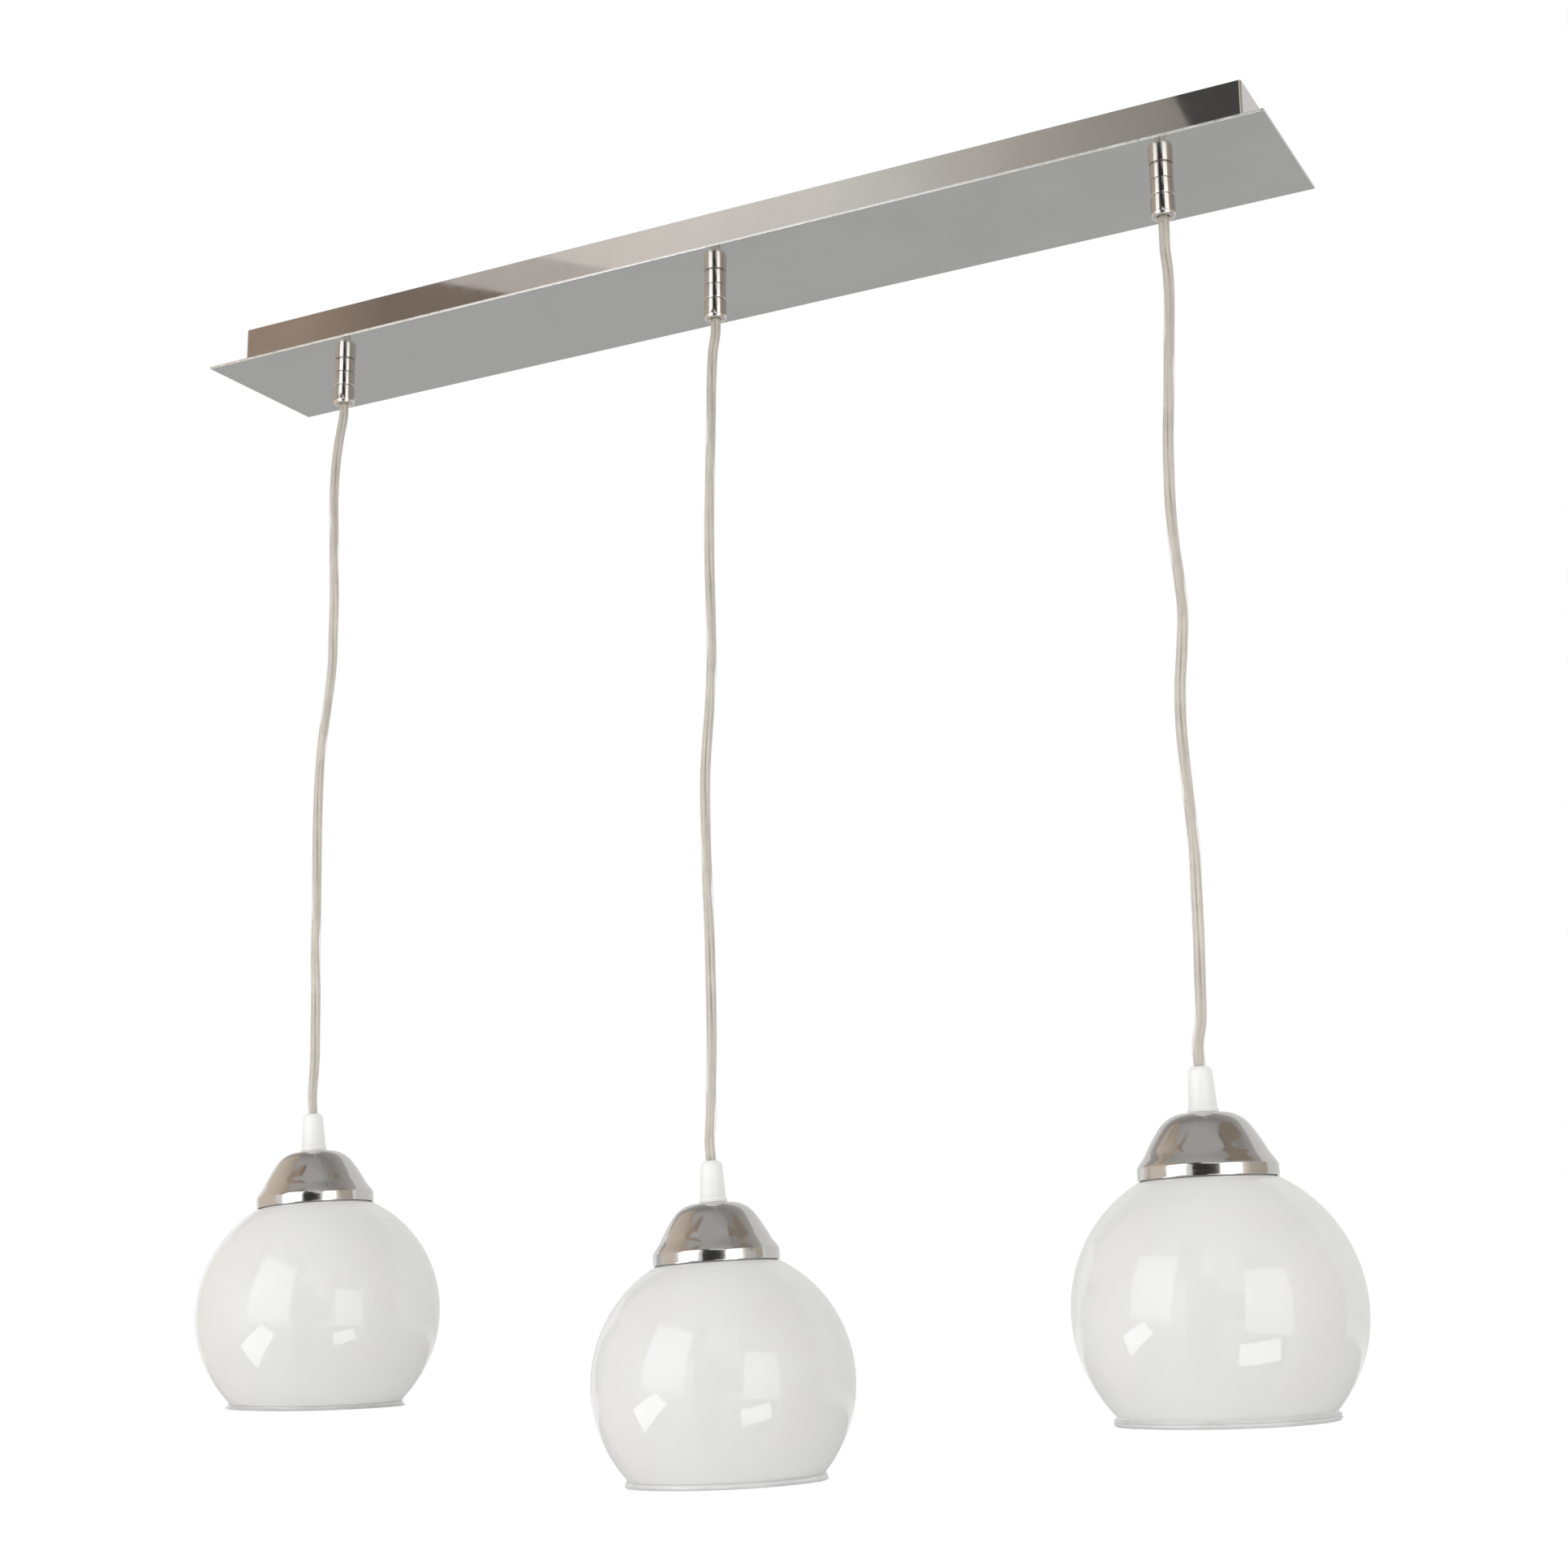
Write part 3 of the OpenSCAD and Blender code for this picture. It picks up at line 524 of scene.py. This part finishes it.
def make_looks():
    """Every material of the light. Where a metal's smears are stretched, it is drawn or turned."""
    chrome = (0.60, 0.585, 0.57)
    return {
        "chrome": metal("chrome", chrome, 0.03, waves=0.05),
        "cap": metal(
            "satin_chrome", chrome, 0.11, spread=0.05, smears=120, stretch=(1, 1, 8), waves=0.03
        ),
        "plate": metal(
            "polished_plate", (0.60, 0.60, 0.595), 0.07, spread=0.015, smears=40,
            stretch=(3, 90, 90),
        ),
        "cut_edge": metal("cut_edge", (0.82, 0.82, 0.81), 0.38, spread=0.05, smears=400),
        "nickel": metal(
            "turned_nickel", (0.66, 0.63, 0.60), 0.09, spread=0.03, smears=60,
            stretch=(4, 4, 120),
        ),
        "zinc": metal("zinc_plated_steel", (0.58, 0.59, 0.60), 0.3, spread=0.08, smears=300),
        "brass": metal("brass", (0.78, 0.58, 0.30), 0.22, spread=0.07, smears=200),
        "strands": plastic(
            "tinned_strands", (0.82, 0.79, 0.735), 0.3, spread=0.06, texture=700, depth=0.03
        ),
        "jacket": plastic(
            "clear_jacket", (0.95, 0.935, 0.89), 0.2, spread=0.01, texture=200,
            Transmission_Weight=1.0, IOR=1.46,
        ),
        "opal": opal_glass(),
        "rim": rim_glass(),
        "sleeve": plastic("white_sleeve", (0.90, 0.905, 0.895), 0.42),
        "holder": plastic("white_thermoplastic", (0.78, 0.78, 0.76), 0.38),
        "ceramic": plastic(
            "glazed_ceramic", (0.82, 0.80, 0.74), 0.18, spread=0.04, texture=400
        ),
        "block": plastic("natural_polythene", (0.74, 0.75, 0.72), 0.35, Subsurface_Weight=0.2),
        "clamp": plastic("nylon", (0.80, 0.79, 0.75), 0.4),
        "core": plastic("cord_core", (0.70, 0.66, 0.57), 0.4),
        "brown": plastic("brown_insulation", (0.16, 0.07, 0.03), 0.35),
        "blue": plastic("blue_insulation", (0.03, 0.13, 0.45), 0.35),
        "earth": plastic("green_insulation", (0.22, 0.45, 0.05), 0.35),
    }


# Cords


def head_point(head, h):
    """The point on a head's axis at height h above its middle."""
    lean = math.radians(head["lean"])
    across = head["x"] + (BALANCE_ARM - h) * math.sin(lean)
    return Vector((across, 0, -head["drop"] + h * math.cos(lean)))


def head_place(head):
    """Where a head's own frame stands: its middle, and its lean about Y."""
    lean = Matrix.Rotation(-math.radians(head["lean"]), 4, "Y")
    return Matrix.Translation(head_point(head, 0) * MM) @ lean


def cord_path(head):
    """From the pivot in the grip's mouth, down the photographed route and into the cap."""
    heights = (SLEEVE_TOP + ENTRY_RUN, SLEEVE_TOP, (SLEEVE_TOP + CORD_END) / 2, CORD_END)
    return [
        Vector((head["x"], 0, PIVOT_Z)),
        *(Vector((head["x"] + across, 0, z)) for across, z in head["route"]),
        *(head_point(head, h) for h in heights),
    ]


def add_cord(side, head, looks):
    """A clear jacket over two stranded cores that wind slowly round each other."""
    path = smooth_line(cord_path(head), 4)
    length = sum((b - a).length for a, b in zip(path, path[1:]))
    turn = 2 * math.pi / CORE_TURN
    pair = joined(*(sweep(path, CORE_R, 12, out, turn) for out in (CORE_OUT, -CORE_OUT)))
    jacket = piece(
        "cord_jacket_" + side, sweep(path, CORD_R, 20), looks["jacket"],
        "head_" + side, "cord_" + side, sharp_angle=60,
    )
    cores = piece(
        "cord_cores_" + side, pair, looks["strands"],
        "head_" + side, "cord_" + side, sharp_angle=60,
    )


# Canopy


def add_plate(looks):
    """The polished plate. Its two long edges are bare where the sheet was cut."""
    holes = [(head["x"], STEM_R + HOLE_GAP) for head in HEADS.values()]
    plate = piece(
        "canopy_plate_sheet",
        slab_with_holes(PLATE_L, PLATE_W, PLATE_UNDER, PLATE_T, holes, chamfer=0.3),
        looks["plate"], "canopy", "canopy_plate", sharp_angle=10,
    )
    plate.data.materials.append(looks["cut_edge"])
    for face in plate.data.polygons:
        if abs(face.normal.y) > 0.5:
            face.material_index = 1


def add_box(looks):
    piece(
        "canopy_box_strip",
        folded_ring(BOX_L, BOX_W, BOX_T, PLATE_TOP, BOX_TOP, bend_r=1.4, edge=0.2),
        looks["chrome"], "canopy", "canopy_frame",
    )


def add_fittings(looks):
    """What the box hides: bracket, screws, terminal block, and the small parts of the grips."""
    for node, look, slot, edge in (
        ("ceiling_bracket", "zinc", "bracket_steel", 0.35),
        ("side_screws", "zinc", "screw_steel", 0.2),
        ("terminal_screws", "zinc", "screw_steel", 0.2),
        ("block_screw", "zinc", "screw_steel", 0.2),
        ("terminal_block", "block", "block_plastic", 0.6),
        ("terminal_clamps", "brass", "brass", 0.2),
        ("earth_screw", "brass", "brass", 0.2),
        ("grip_locknuts", "brass", "brass", 0.2),
        ("grip_washers", "zinc", "screw_steel", 0.15),
        ("clamp_sleeves", "clamp", "clamp_plastic", 0.2),
        ("cord_tails", "core", "cord_plastic", 0.2),
    ):
        softened(node, looks[look], "canopy", edge)


def wire_path(x, side, height):
    """One conductor from a cord's stripped end to its clamp, as in the solids.

    It rises, bends towards the block, crosses to its pole's side and runs level. The level run
    has a point at every spacing, which keeps the smooth line from swinging past its ends."""
    spacing, pole_y = 15, side * POLE_PITCH
    towards = 1 if x < BLOCK_X else -1
    bend = arc((x + towards * WIRE_BEND, height - WIRE_BEND), WIRE_BEND, 90 + towards * 90, 90, 3)
    settled, door = x + towards * WIRE_SETTLED, BLOCK_X - towards * BLOCK_L / 2
    steps = round(abs(door - settled) / spacing)
    level = [settled + (door - settled) * k / steps for k in range(steps + 1)]
    return [
        Vector((x, side * CORE_Y, TAIL_TOP)),
        *(Vector((across, side * CORE_Y, z)) for across, z in bend),
        Vector((x + towards * WIRE_SPREAD, 0.5 * pole_y, height)),
        *(Vector((across, pole_y, height)) for across in (*level, door + towards * WIRE_BITE)),
    ]


def earth_path():
    """From beside the earth screw's shank down to the middle clamp."""
    door = BLOCK_X + BLOCK_L / 2
    start_x = door + EARTH_REACH - EARTH_SCREW_R - WIRE_R
    start_z = -STRIP_T - WIRE_R
    straight, bend, entry, rise = 4, 7, 3, 1.5
    route = [
        (start_x, start_z), (start_x - straight, start_z),
        (start_x - 2 * straight, start_z - 2 * WIRE_R), (door + bend, POLE_Z + rise),
        (door + entry, POLE_Z), (door - WIRE_BITE, POLE_Z),
    ]
    return [Vector((x, 0, z)) for x, z in route]


def wires(*paths):
    return joined(*(sweep(smooth_line(path, 4), WIRE_R, 12) for path in paths))


def add_wires(looks):
    """The cords' conductors and the earth wire.

    The left and the middle cord's reach the block from the same side, one over the other."""
    stack = WIRE_R + WIRE_GAP
    rises = {"left": stack, "middle": -stack, "right": 0}
    for node, y_side, look, slot in (
        ("live_wires", -1, "brown", "wire_brown"), ("neutral_wires", 1, "blue", "wire_blue")
    ):
        paths = [
            wire_path(HEADS[side]["x"], y_side, POLE_Z + rise) for side, rise in rises.items()
        ]
        piece(node + "_run", wires(*paths), looks[look], "canopy", node, sharp_angle=60)
    piece(
        "earth_wire_run", wires(earth_path()), looks["earth"], "canopy",
        "earth_wire", sharp_angle=60,
    )


def collar_outline():
    """The collar under the plate, its stem through the plate and its stub in the gland nut."""
    stub_r, stub_l, edge = STEM_R - THREAD_GAP, 5.7, 0.25
    stub_end = COLLAR_UNDER - stub_l
    return [
        (CORD_BORE_R, STEM_TOP), (CORD_BORE_R, stub_end), (stub_r, stub_end),
        (stub_r, COLLAR_UNDER), (COLLAR_R - edge, COLLAR_UNDER),
        (COLLAR_R, COLLAR_UNDER + 2 * edge), (COLLAR_R, PLATE_UNDER - edge),
        (COLLAR_R - edge, PLATE_UNDER), (STEM_R, PLATE_UNDER), (STEM_R, STEM_TOP),
    ]


def gland_outline():
    """The gland nut, hollow down to its floor, with a mouth that opens out for the cord."""
    floor_t = 3.2
    floor = GLAND_UNDER + floor_t
    return [
        (STEM_R, GLAND_TOP), (STEM_R, floor), (CORD_BORE_R, floor), (MOUTH_R, GLAND_UNDER),
        (GLAND_R - 1.7, GLAND_UNDER), (GLAND_R - 0.45, GLAND_UNDER + 0.5),
        (GLAND_R, GLAND_UNDER + 1.9), (GLAND_R, GLAND_TOP - 0.4), (GLAND_R - 0.3, GLAND_TOP),
    ]


def add_grip(side, head, looks):
    """A turned collar and gland nut, and the ball that stands for the cord's bend in its mouth."""
    at = Matrix.Translation((head["x"] * MM, 0, 0))
    piece(
        "grip_collar_" + side, spin(rounded(collar_outline(), 0.2)), looks["nickel"],
        "canopy", "grip_body_" + side, at,
    )
    piece(
        "grip_gland_" + side, spin(rounded(gland_outline(), 0.5)), looks["nickel"],
        "canopy", "gland_nut_" + side, at,
    )
    ball_r = CORD_R - 0.7
    ball = arc((0, PIVOT_Z), ball_r, -90, 90, 16)
    piece(
        "cord_core_ball_" + side, spin(ball, 32), looks["core"],
        "link_" + side, "cord_flex_" + side, at,
    )


# Heads


def cap_outline():
    """From the hole in the cap's top down to its upright lip, whose edge is at height 0."""
    crown_x, crown_r = 9.3, 17.1
    crown = arc((crown_x, CAP_H - crown_r), crown_r, 90, 42, 3)
    flank = [(10.2, 22.7), (6.9, 17.3), (4.3, 12.4), (1.5, 8.5), (0.2, 6.4), (0, 4.9), (0, 3.4)]
    line = crown + [(CAP_R - inset, z) for inset, z in flank]
    smooth = [tuple(p) for p in smooth_line([Vector(p) for p in line], 7)]
    foot = curve((CAP_R, 0.9), (CAP_R, 0), (CAP_R - 0.5, 0), 4)
    return [(STEM_R + HOLE_GAP, CAP_H), *smooth, *foot]


def add_cap(side, at, looks):
    shape = [(r, CAP_SEAT + z) for r, z in sheet(cap_outline(), CAP_T)]
    piece(
        "cap_shell_" + side, spin(shape, 160), looks["cap"],
        "head_" + side, "cap_" + side, at, sharp_angle=24,
    )


def add_sleeve(side, at, looks):
    """The moulded sleeve: a foot on the cap, and a body that narrows to a bevelled top."""
    foot_r, foot_h, top_r, socket_r = 7.9, 2, 6, STEM_R + THREAD_GAP
    outline = [
        (socket_r, 0), (foot_r, 0), (foot_r, foot_h), (foot_r - 0.5, foot_h + 0.4),
        (top_r + 0.15, SLEEVE_H - 2), (top_r - 1.3, SLEEVE_H), (CORD_BORE_R, SLEEVE_H),
        (CORD_BORE_R, SLEEVE_SOCKET), (socket_r, SLEEVE_SOCKET),
    ]
    shape = [(r, CAP_TOP + z) for r, z in rounded(outline, 0.6, 4)]
    piece(
        "cord_sleeve_" + side, spin(shape, 64), looks["sleeve"],
        "head_" + side, "sleeve_" + side, at, sharp_angle=35,
    )


def ease(t):
    """Rises smoothly from 0 to 1 as t does, and is level at both ends."""
    t = min(1.0, max(0.0, t))
    return t * t * (3 - 2 * t)


def latitude(r, ball_r):
    """The latitude, in degrees, at which a ball has the radius r."""
    return math.degrees(math.acos(r / ball_r))


def add_shade(side, head, at, looks):
    """The glass: a cut-off ball and its thick rim, which tilts back from the cap's lean."""
    sides, throat_r, inner_r = 160, head["throat"], SHADE_R - GLASS_T
    rim_foot = -math.sqrt(SHADE_R**2 - throat_r**2) - RIM_H
    outer = arc((0, 0), SHADE_R, latitude(NECK_R, SHADE_R), -latitude(throat_r, SHADE_R), 72)
    corners = [Vector((throat_r + out, rim_foot + up)) for out, up in head["rim"]]
    rim = [tuple(p) for p in smooth_line(corners, 3)]
    inner_foot = -latitude(throat_r - GLASS_T, inner_r)
    inner = arc((0, 0), inner_r, inner_foot, latitude(NECK_R, inner_r), 64)
    tilt, high_side = math.radians(head["tilt"]), math.radians(head["high_side"])
    tilt_from, tilt_over, ripple = 35, 70, 0.15

    def place(r, z, a):
        """Tilts the glass, more and more with the angle off its top, and makes its rim uneven."""
        off_top = math.degrees(math.atan2(r, z))
        t = tilt * ease((off_top - tilt_from) / tilt_over)
        slope = 0.5 * head["uneven"] * (1 + math.cos(a - high_side))
        wave = slope + ripple * (1 + math.cos(3 * a))
        z += wave * ease((rim_foot + RIM_H - z) / RIM_H)
        x, y = r * math.cos(a), r * math.sin(a)
        return (x * math.cos(t) + z * math.sin(t), y, -x * math.sin(t) + z * math.cos(t))

    glass = piece(
        "glass_shade_" + side, spin(outer + rim + inner, sides, place), looks["opal"],
        "head_" + side, "shade_" + side, at, sharp_angle=40,
    )
    glass.data.materials.append(looks["rim"])
    for face in glass.data.polygons[len(outer) * sides:(len(outer) + len(rim)) * sides]:
        face.material_index = 1


def thread(z, angle, pitch, half_depth):
    """How deep a round thread is cut at a height and an angle."""
    return half_depth * (1 + math.cos(2 * math.pi * z / pitch - angle))


def add_skirt(side, at, looks):
    """The lampholder's skirt with its outer thread, and the flange that lies on the glass."""
    low, high, top = SKIRT_BOTTOM, FLANGE_UNDER, FLANGE_UNDER + FLANGE_T
    steps, edge, chamfer, neck_h = 80, 0.4, 1, 2
    flank_h = SKIRT_H - chamfer - neck_h
    flank = [(SKIRT_R, low + chamfer + flank_h * k / steps) for k in range(steps + 1)]
    outline = [
        (SKIRT_BORE_R + 0.5, low), (SKIRT_R - chamfer, low), *flank, (SKIRT_R, high),
        (FLANGE_R - edge, high), (FLANGE_R, high + edge), (FLANGE_R, top - edge),
        (FLANGE_R - edge, top), (SKIRT_BORE_R, top), (SKIRT_BORE_R, low + 0.5),
    ]

    def place(r, z, a):
        """Cuts the thread into the flank, clear of its lower edge and of the flange."""
        if r == SKIRT_R and low + 1.5 < z < high - 1:
            r -= thread(z, a, pitch=3, half_depth=0.35)
        return around(r, z, a)

    piece(
        "lampholder_skirt_" + side, spin(outline, 96, place), looks["holder"],
        "head_" + side, "holder_skirt_" + side, at,
    )


def add_lamp_contacts(side, at, looks):
    """The screw shell for the lamp, whose thread fades at both ends, and the contact over it."""
    steps, fade_h, top = 44, 2, SHELL_BOTTOM + SHELL_H
    inside = [(SHELL_R, SHELL_BOTTOM + SHELL_H * k / steps) for k in range(steps + 1)]
    outside = [(SHELL_R + SHELL_T, z) for r, z in reversed(inside)]

    def place(r, z, a):
        fade = ease((z - SHELL_BOTTOM) / fade_h) * ease((top - z) / fade_h)
        return around(r - fade * thread(z, a, pitch=3.62, half_depth=0.42), z, a)

    axis, low, rim, high = 0.001, top + 0.5, top + 1.5, top + 4.5
    button = [(axis, low), (4, low), (4, rim), (1.5, rim), (1.5, high), (axis, high)]
    piece(
        "lamp_thread_" + side,
        joined(spin(inside + outside, 96, place), spin(rounded(button, 0.4), 32)),
        looks["brass"], "head_" + side, "lamp_contacts_" + side, at,
    )


def add_head(side, head, looks):
    at = head_place(head)
    add_cap(side, at, looks)
    add_sleeve(side, at, looks)
    add_shade(side, head, at, looks)
    add_skirt(side, at, looks)
    add_lamp_contacts(side, at, looks)
    for node, look, slot, edge in (
        ("nipple_", "brass", "brass", 0.2),
        ("holder_dome_", "holder", "holder_plastic", 0.2),
        ("contact_block_", "ceramic", "holder_ceramic", 0.5),
        ("lead_wires_", "brown", "wire_brown", 0.2),
        ("shade_ring_", "holder", "holder_plastic", 0.5),
    ):
        softened(node + side, looks[look], "head_" + side, edge)


# Studio


def grey(level):
    return (level, level, level)


def glow_look(name, stops, axis):
    """Plain light whose colour runs along an axis through the stops (place, colour)."""
    look = bpy.data.materials.new(name)
    look.use_nodes = True
    tree = look.node_tree
    tree.nodes.clear()
    glow = tree.nodes.new("ShaderNodeEmission")
    glow.inputs["Color"].default_value = (*stops[0][1], 1)
    out = tree.nodes.new("ShaderNodeOutputMaterial")
    tree.links.new(glow.outputs["Emission"], out.inputs["Surface"])
    if len(stops) > 1:
        place = tree.nodes.new("ShaderNodeTexCoord")
        parts = tree.nodes.new("ShaderNodeSeparateXYZ")
        ramp = tree.nodes.new("ShaderNodeValToRGB")
        made = ramp.color_ramp.elements
        made.remove(made[1])
        made[0].position, made[0].color = stops[0][0], (*stops[0][1], 1)
        for position, colour in stops[1:]:
            made.new(position).color = (*colour, 1)
        tree.links.new(place.outputs["Generated"], parts.inputs["Vector"])
        tree.links.new(parts.outputs[axis], ramp.inputs["Fac"])
        tree.links.new(ramp.outputs["Color"], glow.inputs["Color"])
    return look


def flat_face(name, corners):
    """An object of one flat face."""
    mesh = bpy.data.meshes.new(name)
    mesh.from_pydata(corners, [], [tuple(range(len(corners)))])
    return new_object(name, mesh)


def card(name, corners, *stops, axis="Z"):
    """A studio card that only mirrors show."""
    made = flat_face(name, corners)
    made.data.materials.append(glow_look(name, stops, axis))
    for ray in ("camera", "diffuse", "transmission", "volume_scatter", "shadow"):
        setattr(made, "visible_" + ray, False)


def upright_card(name, p, q, low, high, *stops, axis="Z"):
    """A card that stands on the line from p to q."""
    card(name, [(*p, low), (*q, low), (*q, high), (*p, high)], *stops, axis=axis)


def front_card(name, left, right, *stops):
    """A card on the front wall, between two edges of points (x, z) that run upwards."""
    card(name, [(x, FRONT_Y, z) for x, z in (*left, *reversed(right))], *stops, axis="X")


def soft_box(name, strength, *corners):
    """A white card that is brightest across its middle."""
    stops = [(at, grey(strength * share)) for at, share in ((0, 0.8), (0.5, 1), (1, 0.8))]
    card(name, corners, *stops)


def add_soft_boxes():
    """The white boxes that caps and shades mirror: one at each side, and one under each."""
    soft_box("box_left", 2.6, (-0.68, -0.71, 0.15), (-0.01, -1.04, 0.22),
             (-0.07, -1.11, -0.78), (-0.66, -0.76, -0.72))
    soft_box("box_right", 2.5, (1.05, -0.95, 0.02), (1.13, -0.25, -0.18),
             (1.31, -0.31, -0.94), (0.97, -0.95, -0.93))
    soft_box("low_left", 4.2, (-0.50, -0.93, -0.77), (-0.29, -0.87, -0.90),
             (-0.58, -0.50, -1.14), (-0.73, -0.55, -0.93))
    soft_box("low_right", 4.0, (0.83, -0.86, -1.08), (1.34, -0.53, -1.01),
             (1.11, -0.34, -1.20), (0.73, -0.71, -1.32))


def add_walls():
    """Brown walls and a drape, a pale back, and the dark side where the camera stands."""
    upright_card("wall_left", (LEFT_X, -1.5), (LEFT_X, 0.6), -2.3, 1.9,
                 (0.55, (0.85, 0.76, 0.65)), (1, (0.5, 0.42, 0.33)))
    upright_card("wall_right", (RIGHT_X, -0.4), (RIGHT_X, 0.95), -2.3, 0.2,
                 (0, (1.1, 1.05, 0.95)), (0.3, (0.6, 0.54, 0.46)), (1, (0.5, 0.45, 0.38)),
                 axis="Y")
    upright_card("wall_right_top", (RIGHT_X, -0.5), (RIGHT_X, 0.95), 0.9, CEILING_Z,
                 (0, (0.32, 0.27, 0.22)))
    upright_card("door_frame", (RIGHT_X, -0.6), (RIGHT_X, -0.5), 0.9, CEILING_Z,
                 (0, (0.14, 0.12, 0.11)))
    upright_card("drape", (-1.6, -1.1), (-0.43, -0.69), 0.5, 1.3,
                 (0.8, BROWN), (1, (0.2, 0.15, 0.12)), axis="X")
    upright_card("back", (-4, 3), (4, 3), -1.0, CEILING_Z, (0, (0.8, 0.8, 0.79)))
    left, middle, right = ((x, CAMERA_SIDE_Y) for x in (0.1, 0.72, 1.45))
    upright_card("camera_side", left, middle, -2.3, 0.1, (0, grey(0.05)))
    upright_card("camera_right", middle, right, -0.85, -0.2, (0, grey(0.05)),
                 (0.4, grey(0.08)), (0.7, (0.22, 0.21, 0.2)), (1, (0.6, 0.58, 0.56)), axis="X")


def add_front():
    """The wall that the box's face mirrors. Its left borders step to the left half-way up."""
    low, bend, slant, high = 0.25, 1.0, 1.15, 1.9
    brown_edge = [(-1.37, low), (-1.37, bend), (-1.78, slant), (-1.78, high)]
    grey_edge = [(-1.17, low), (-1.17, bend), (-1.56, slant), (-1.56, high)]
    dark_edge = [(-0.25, low), (-0.25, bend), (-0.31, slant), (-0.31, high)]
    left_end, white_edge, right_edge, right_end = (
        [(x, low), (x, high)] for x in (-3.2, 0.45, 2.0, 3.2)
    )
    front_card("front_brown", left_end, brown_edge, (0.68, BROWN), (0.78, (0.29, 0.23, 0.19)))
    front_card("front_grey", brown_edge, grey_edge, (0, (0.68, 0.64, 0.60)))
    front_card("front_white", grey_edge, dark_edge, (0.2, (0.94, 0.89, 0.84)),
               (0.42, (0.92, 0.885, 0.845)), (0.6, (0.83, 0.815, 0.775)),
               (0.78, (0.545, 0.515, 0.475)), (1, (0.35, 0.325, 0.30)))
    front_card("front_dark", dark_edge, white_edge, (0, (0.095, 0.092, 0.09)))
    front_card("front_right", white_edge, right_edge, (0, (0.9, 0.87, 0.82)))
    front_card("front_end", right_edge, right_end, (0, (0.3, 0.26, 0.2)))


def add_ceiling():
    """A grey ceiling, darkest just behind the light."""
    card("ceiling", [(*p, CEILING_Z) for p in circle(ROOM_R, 36)],
         (0.44, (0.54, 0.535, 0.52)), (0.53, (0.33, 0.32, 0.31)),
         (0.62, (0.45, 0.44, 0.42)), (0.85, (0.7, 0.7, 0.69)), axis="Y")


def add_floor():
    floor = flat_face("floor", [(*p, FLOOR_Z) for p in circle(ROOM_R, 72)])
    look = new_look("pale_floor", (0.62, 0.62, 0.615), 0.7)
    vary_colour(look, grain(look, 0.8), (0.61, 0.61, 0.605), (0.63, 0.63, 0.625))
    floor.data.materials.append(look)


def area_light(name, at, towards, width, height, watts):
    """A soft lamp that no camera or mirror sees."""
    light = bpy.data.lights.new(name, "AREA")
    light.shape = "RECTANGLE"
    light.size, light.size_y = width, height
    light.energy = watts
    made = new_object(name, light)
    made.location = at
    made.rotation_mode = "QUATERNION"
    made.rotation_quaternion = (Vector(towards) - Vector(at)).to_track_quat("-Z", "Y")
    made.visible_camera = False
    made.visible_glossy = False


def add_lights():
    area_light("key", (-1.1, -1.9, 0.1), (0, 0, -0.5), 1.2, 1.4, 10)
    area_light("low", (0.2, -1.2, -1.7), (0, 0, -0.6), 1.6, 0.8, 5.5)
    area_light("fill", (2.1, -1.2, -0.4), (0, 0, -0.5), 1.0, 1.4, 5.5)


def add_world():
    """Plain light all round, and pure white where the camera, a mirror or glass looks at it."""
    world = bpy.data.worlds.new("studio")
    bpy.context.scene.world = world
    world.use_nodes = True
    tree = world.node_tree
    tree.nodes.clear()
    rays = tree.nodes.new("ShaderNodeLightPath")
    seen = rays.outputs["Is Camera Ray"]
    for other in ("Is Glossy Ray", "Is Transmission Ray"):
        most = tree.nodes.new("ShaderNodeMath")
        most.operation = "MAXIMUM"
        tree.links.new(seen, most.inputs[0])
        tree.links.new(rays.outputs[other], most.inputs[1])
        seen = most.outputs[0]
    mix = tree.nodes.new("ShaderNodeMixShader")
    tree.links.new(seen, mix.inputs[0])
    plain, white = ((1, 0.995, 0.985, 1), 0.83), ((1, 1, 1, 1), 1)
    for slot, (colour, strength) in enumerate((plain, white), start=1):
        light = tree.nodes.new("ShaderNodeBackground")
        light.inputs["Color"].default_value = colour
        light.inputs["Strength"].default_value = strength
        tree.links.new(light.outputs[0], mix.inputs[slot])
    out = tree.nodes.new("ShaderNodeOutputWorld")
    tree.links.new(mix.outputs[0], out.inputs["Surface"])


def add_studio():
    add_floor()
    add_soft_boxes()
    add_walls()
    add_front()
    add_ceiling()
    add_world()
    add_lights()
    bpy.context.scene.view_settings.view_transform = "Standard"


def main():
    add_camera()
    looks = make_looks()
    for side, head in HEADS.items():
        add_cord(side, head, looks)
    add_plate(looks)
    add_box(looks)
    add_fittings(looks)
    add_wires(looks)
    for side, head in HEADS.items():
        add_grip(side, head, looks)
        add_head(side, head, looks)
    add_studio()


main()
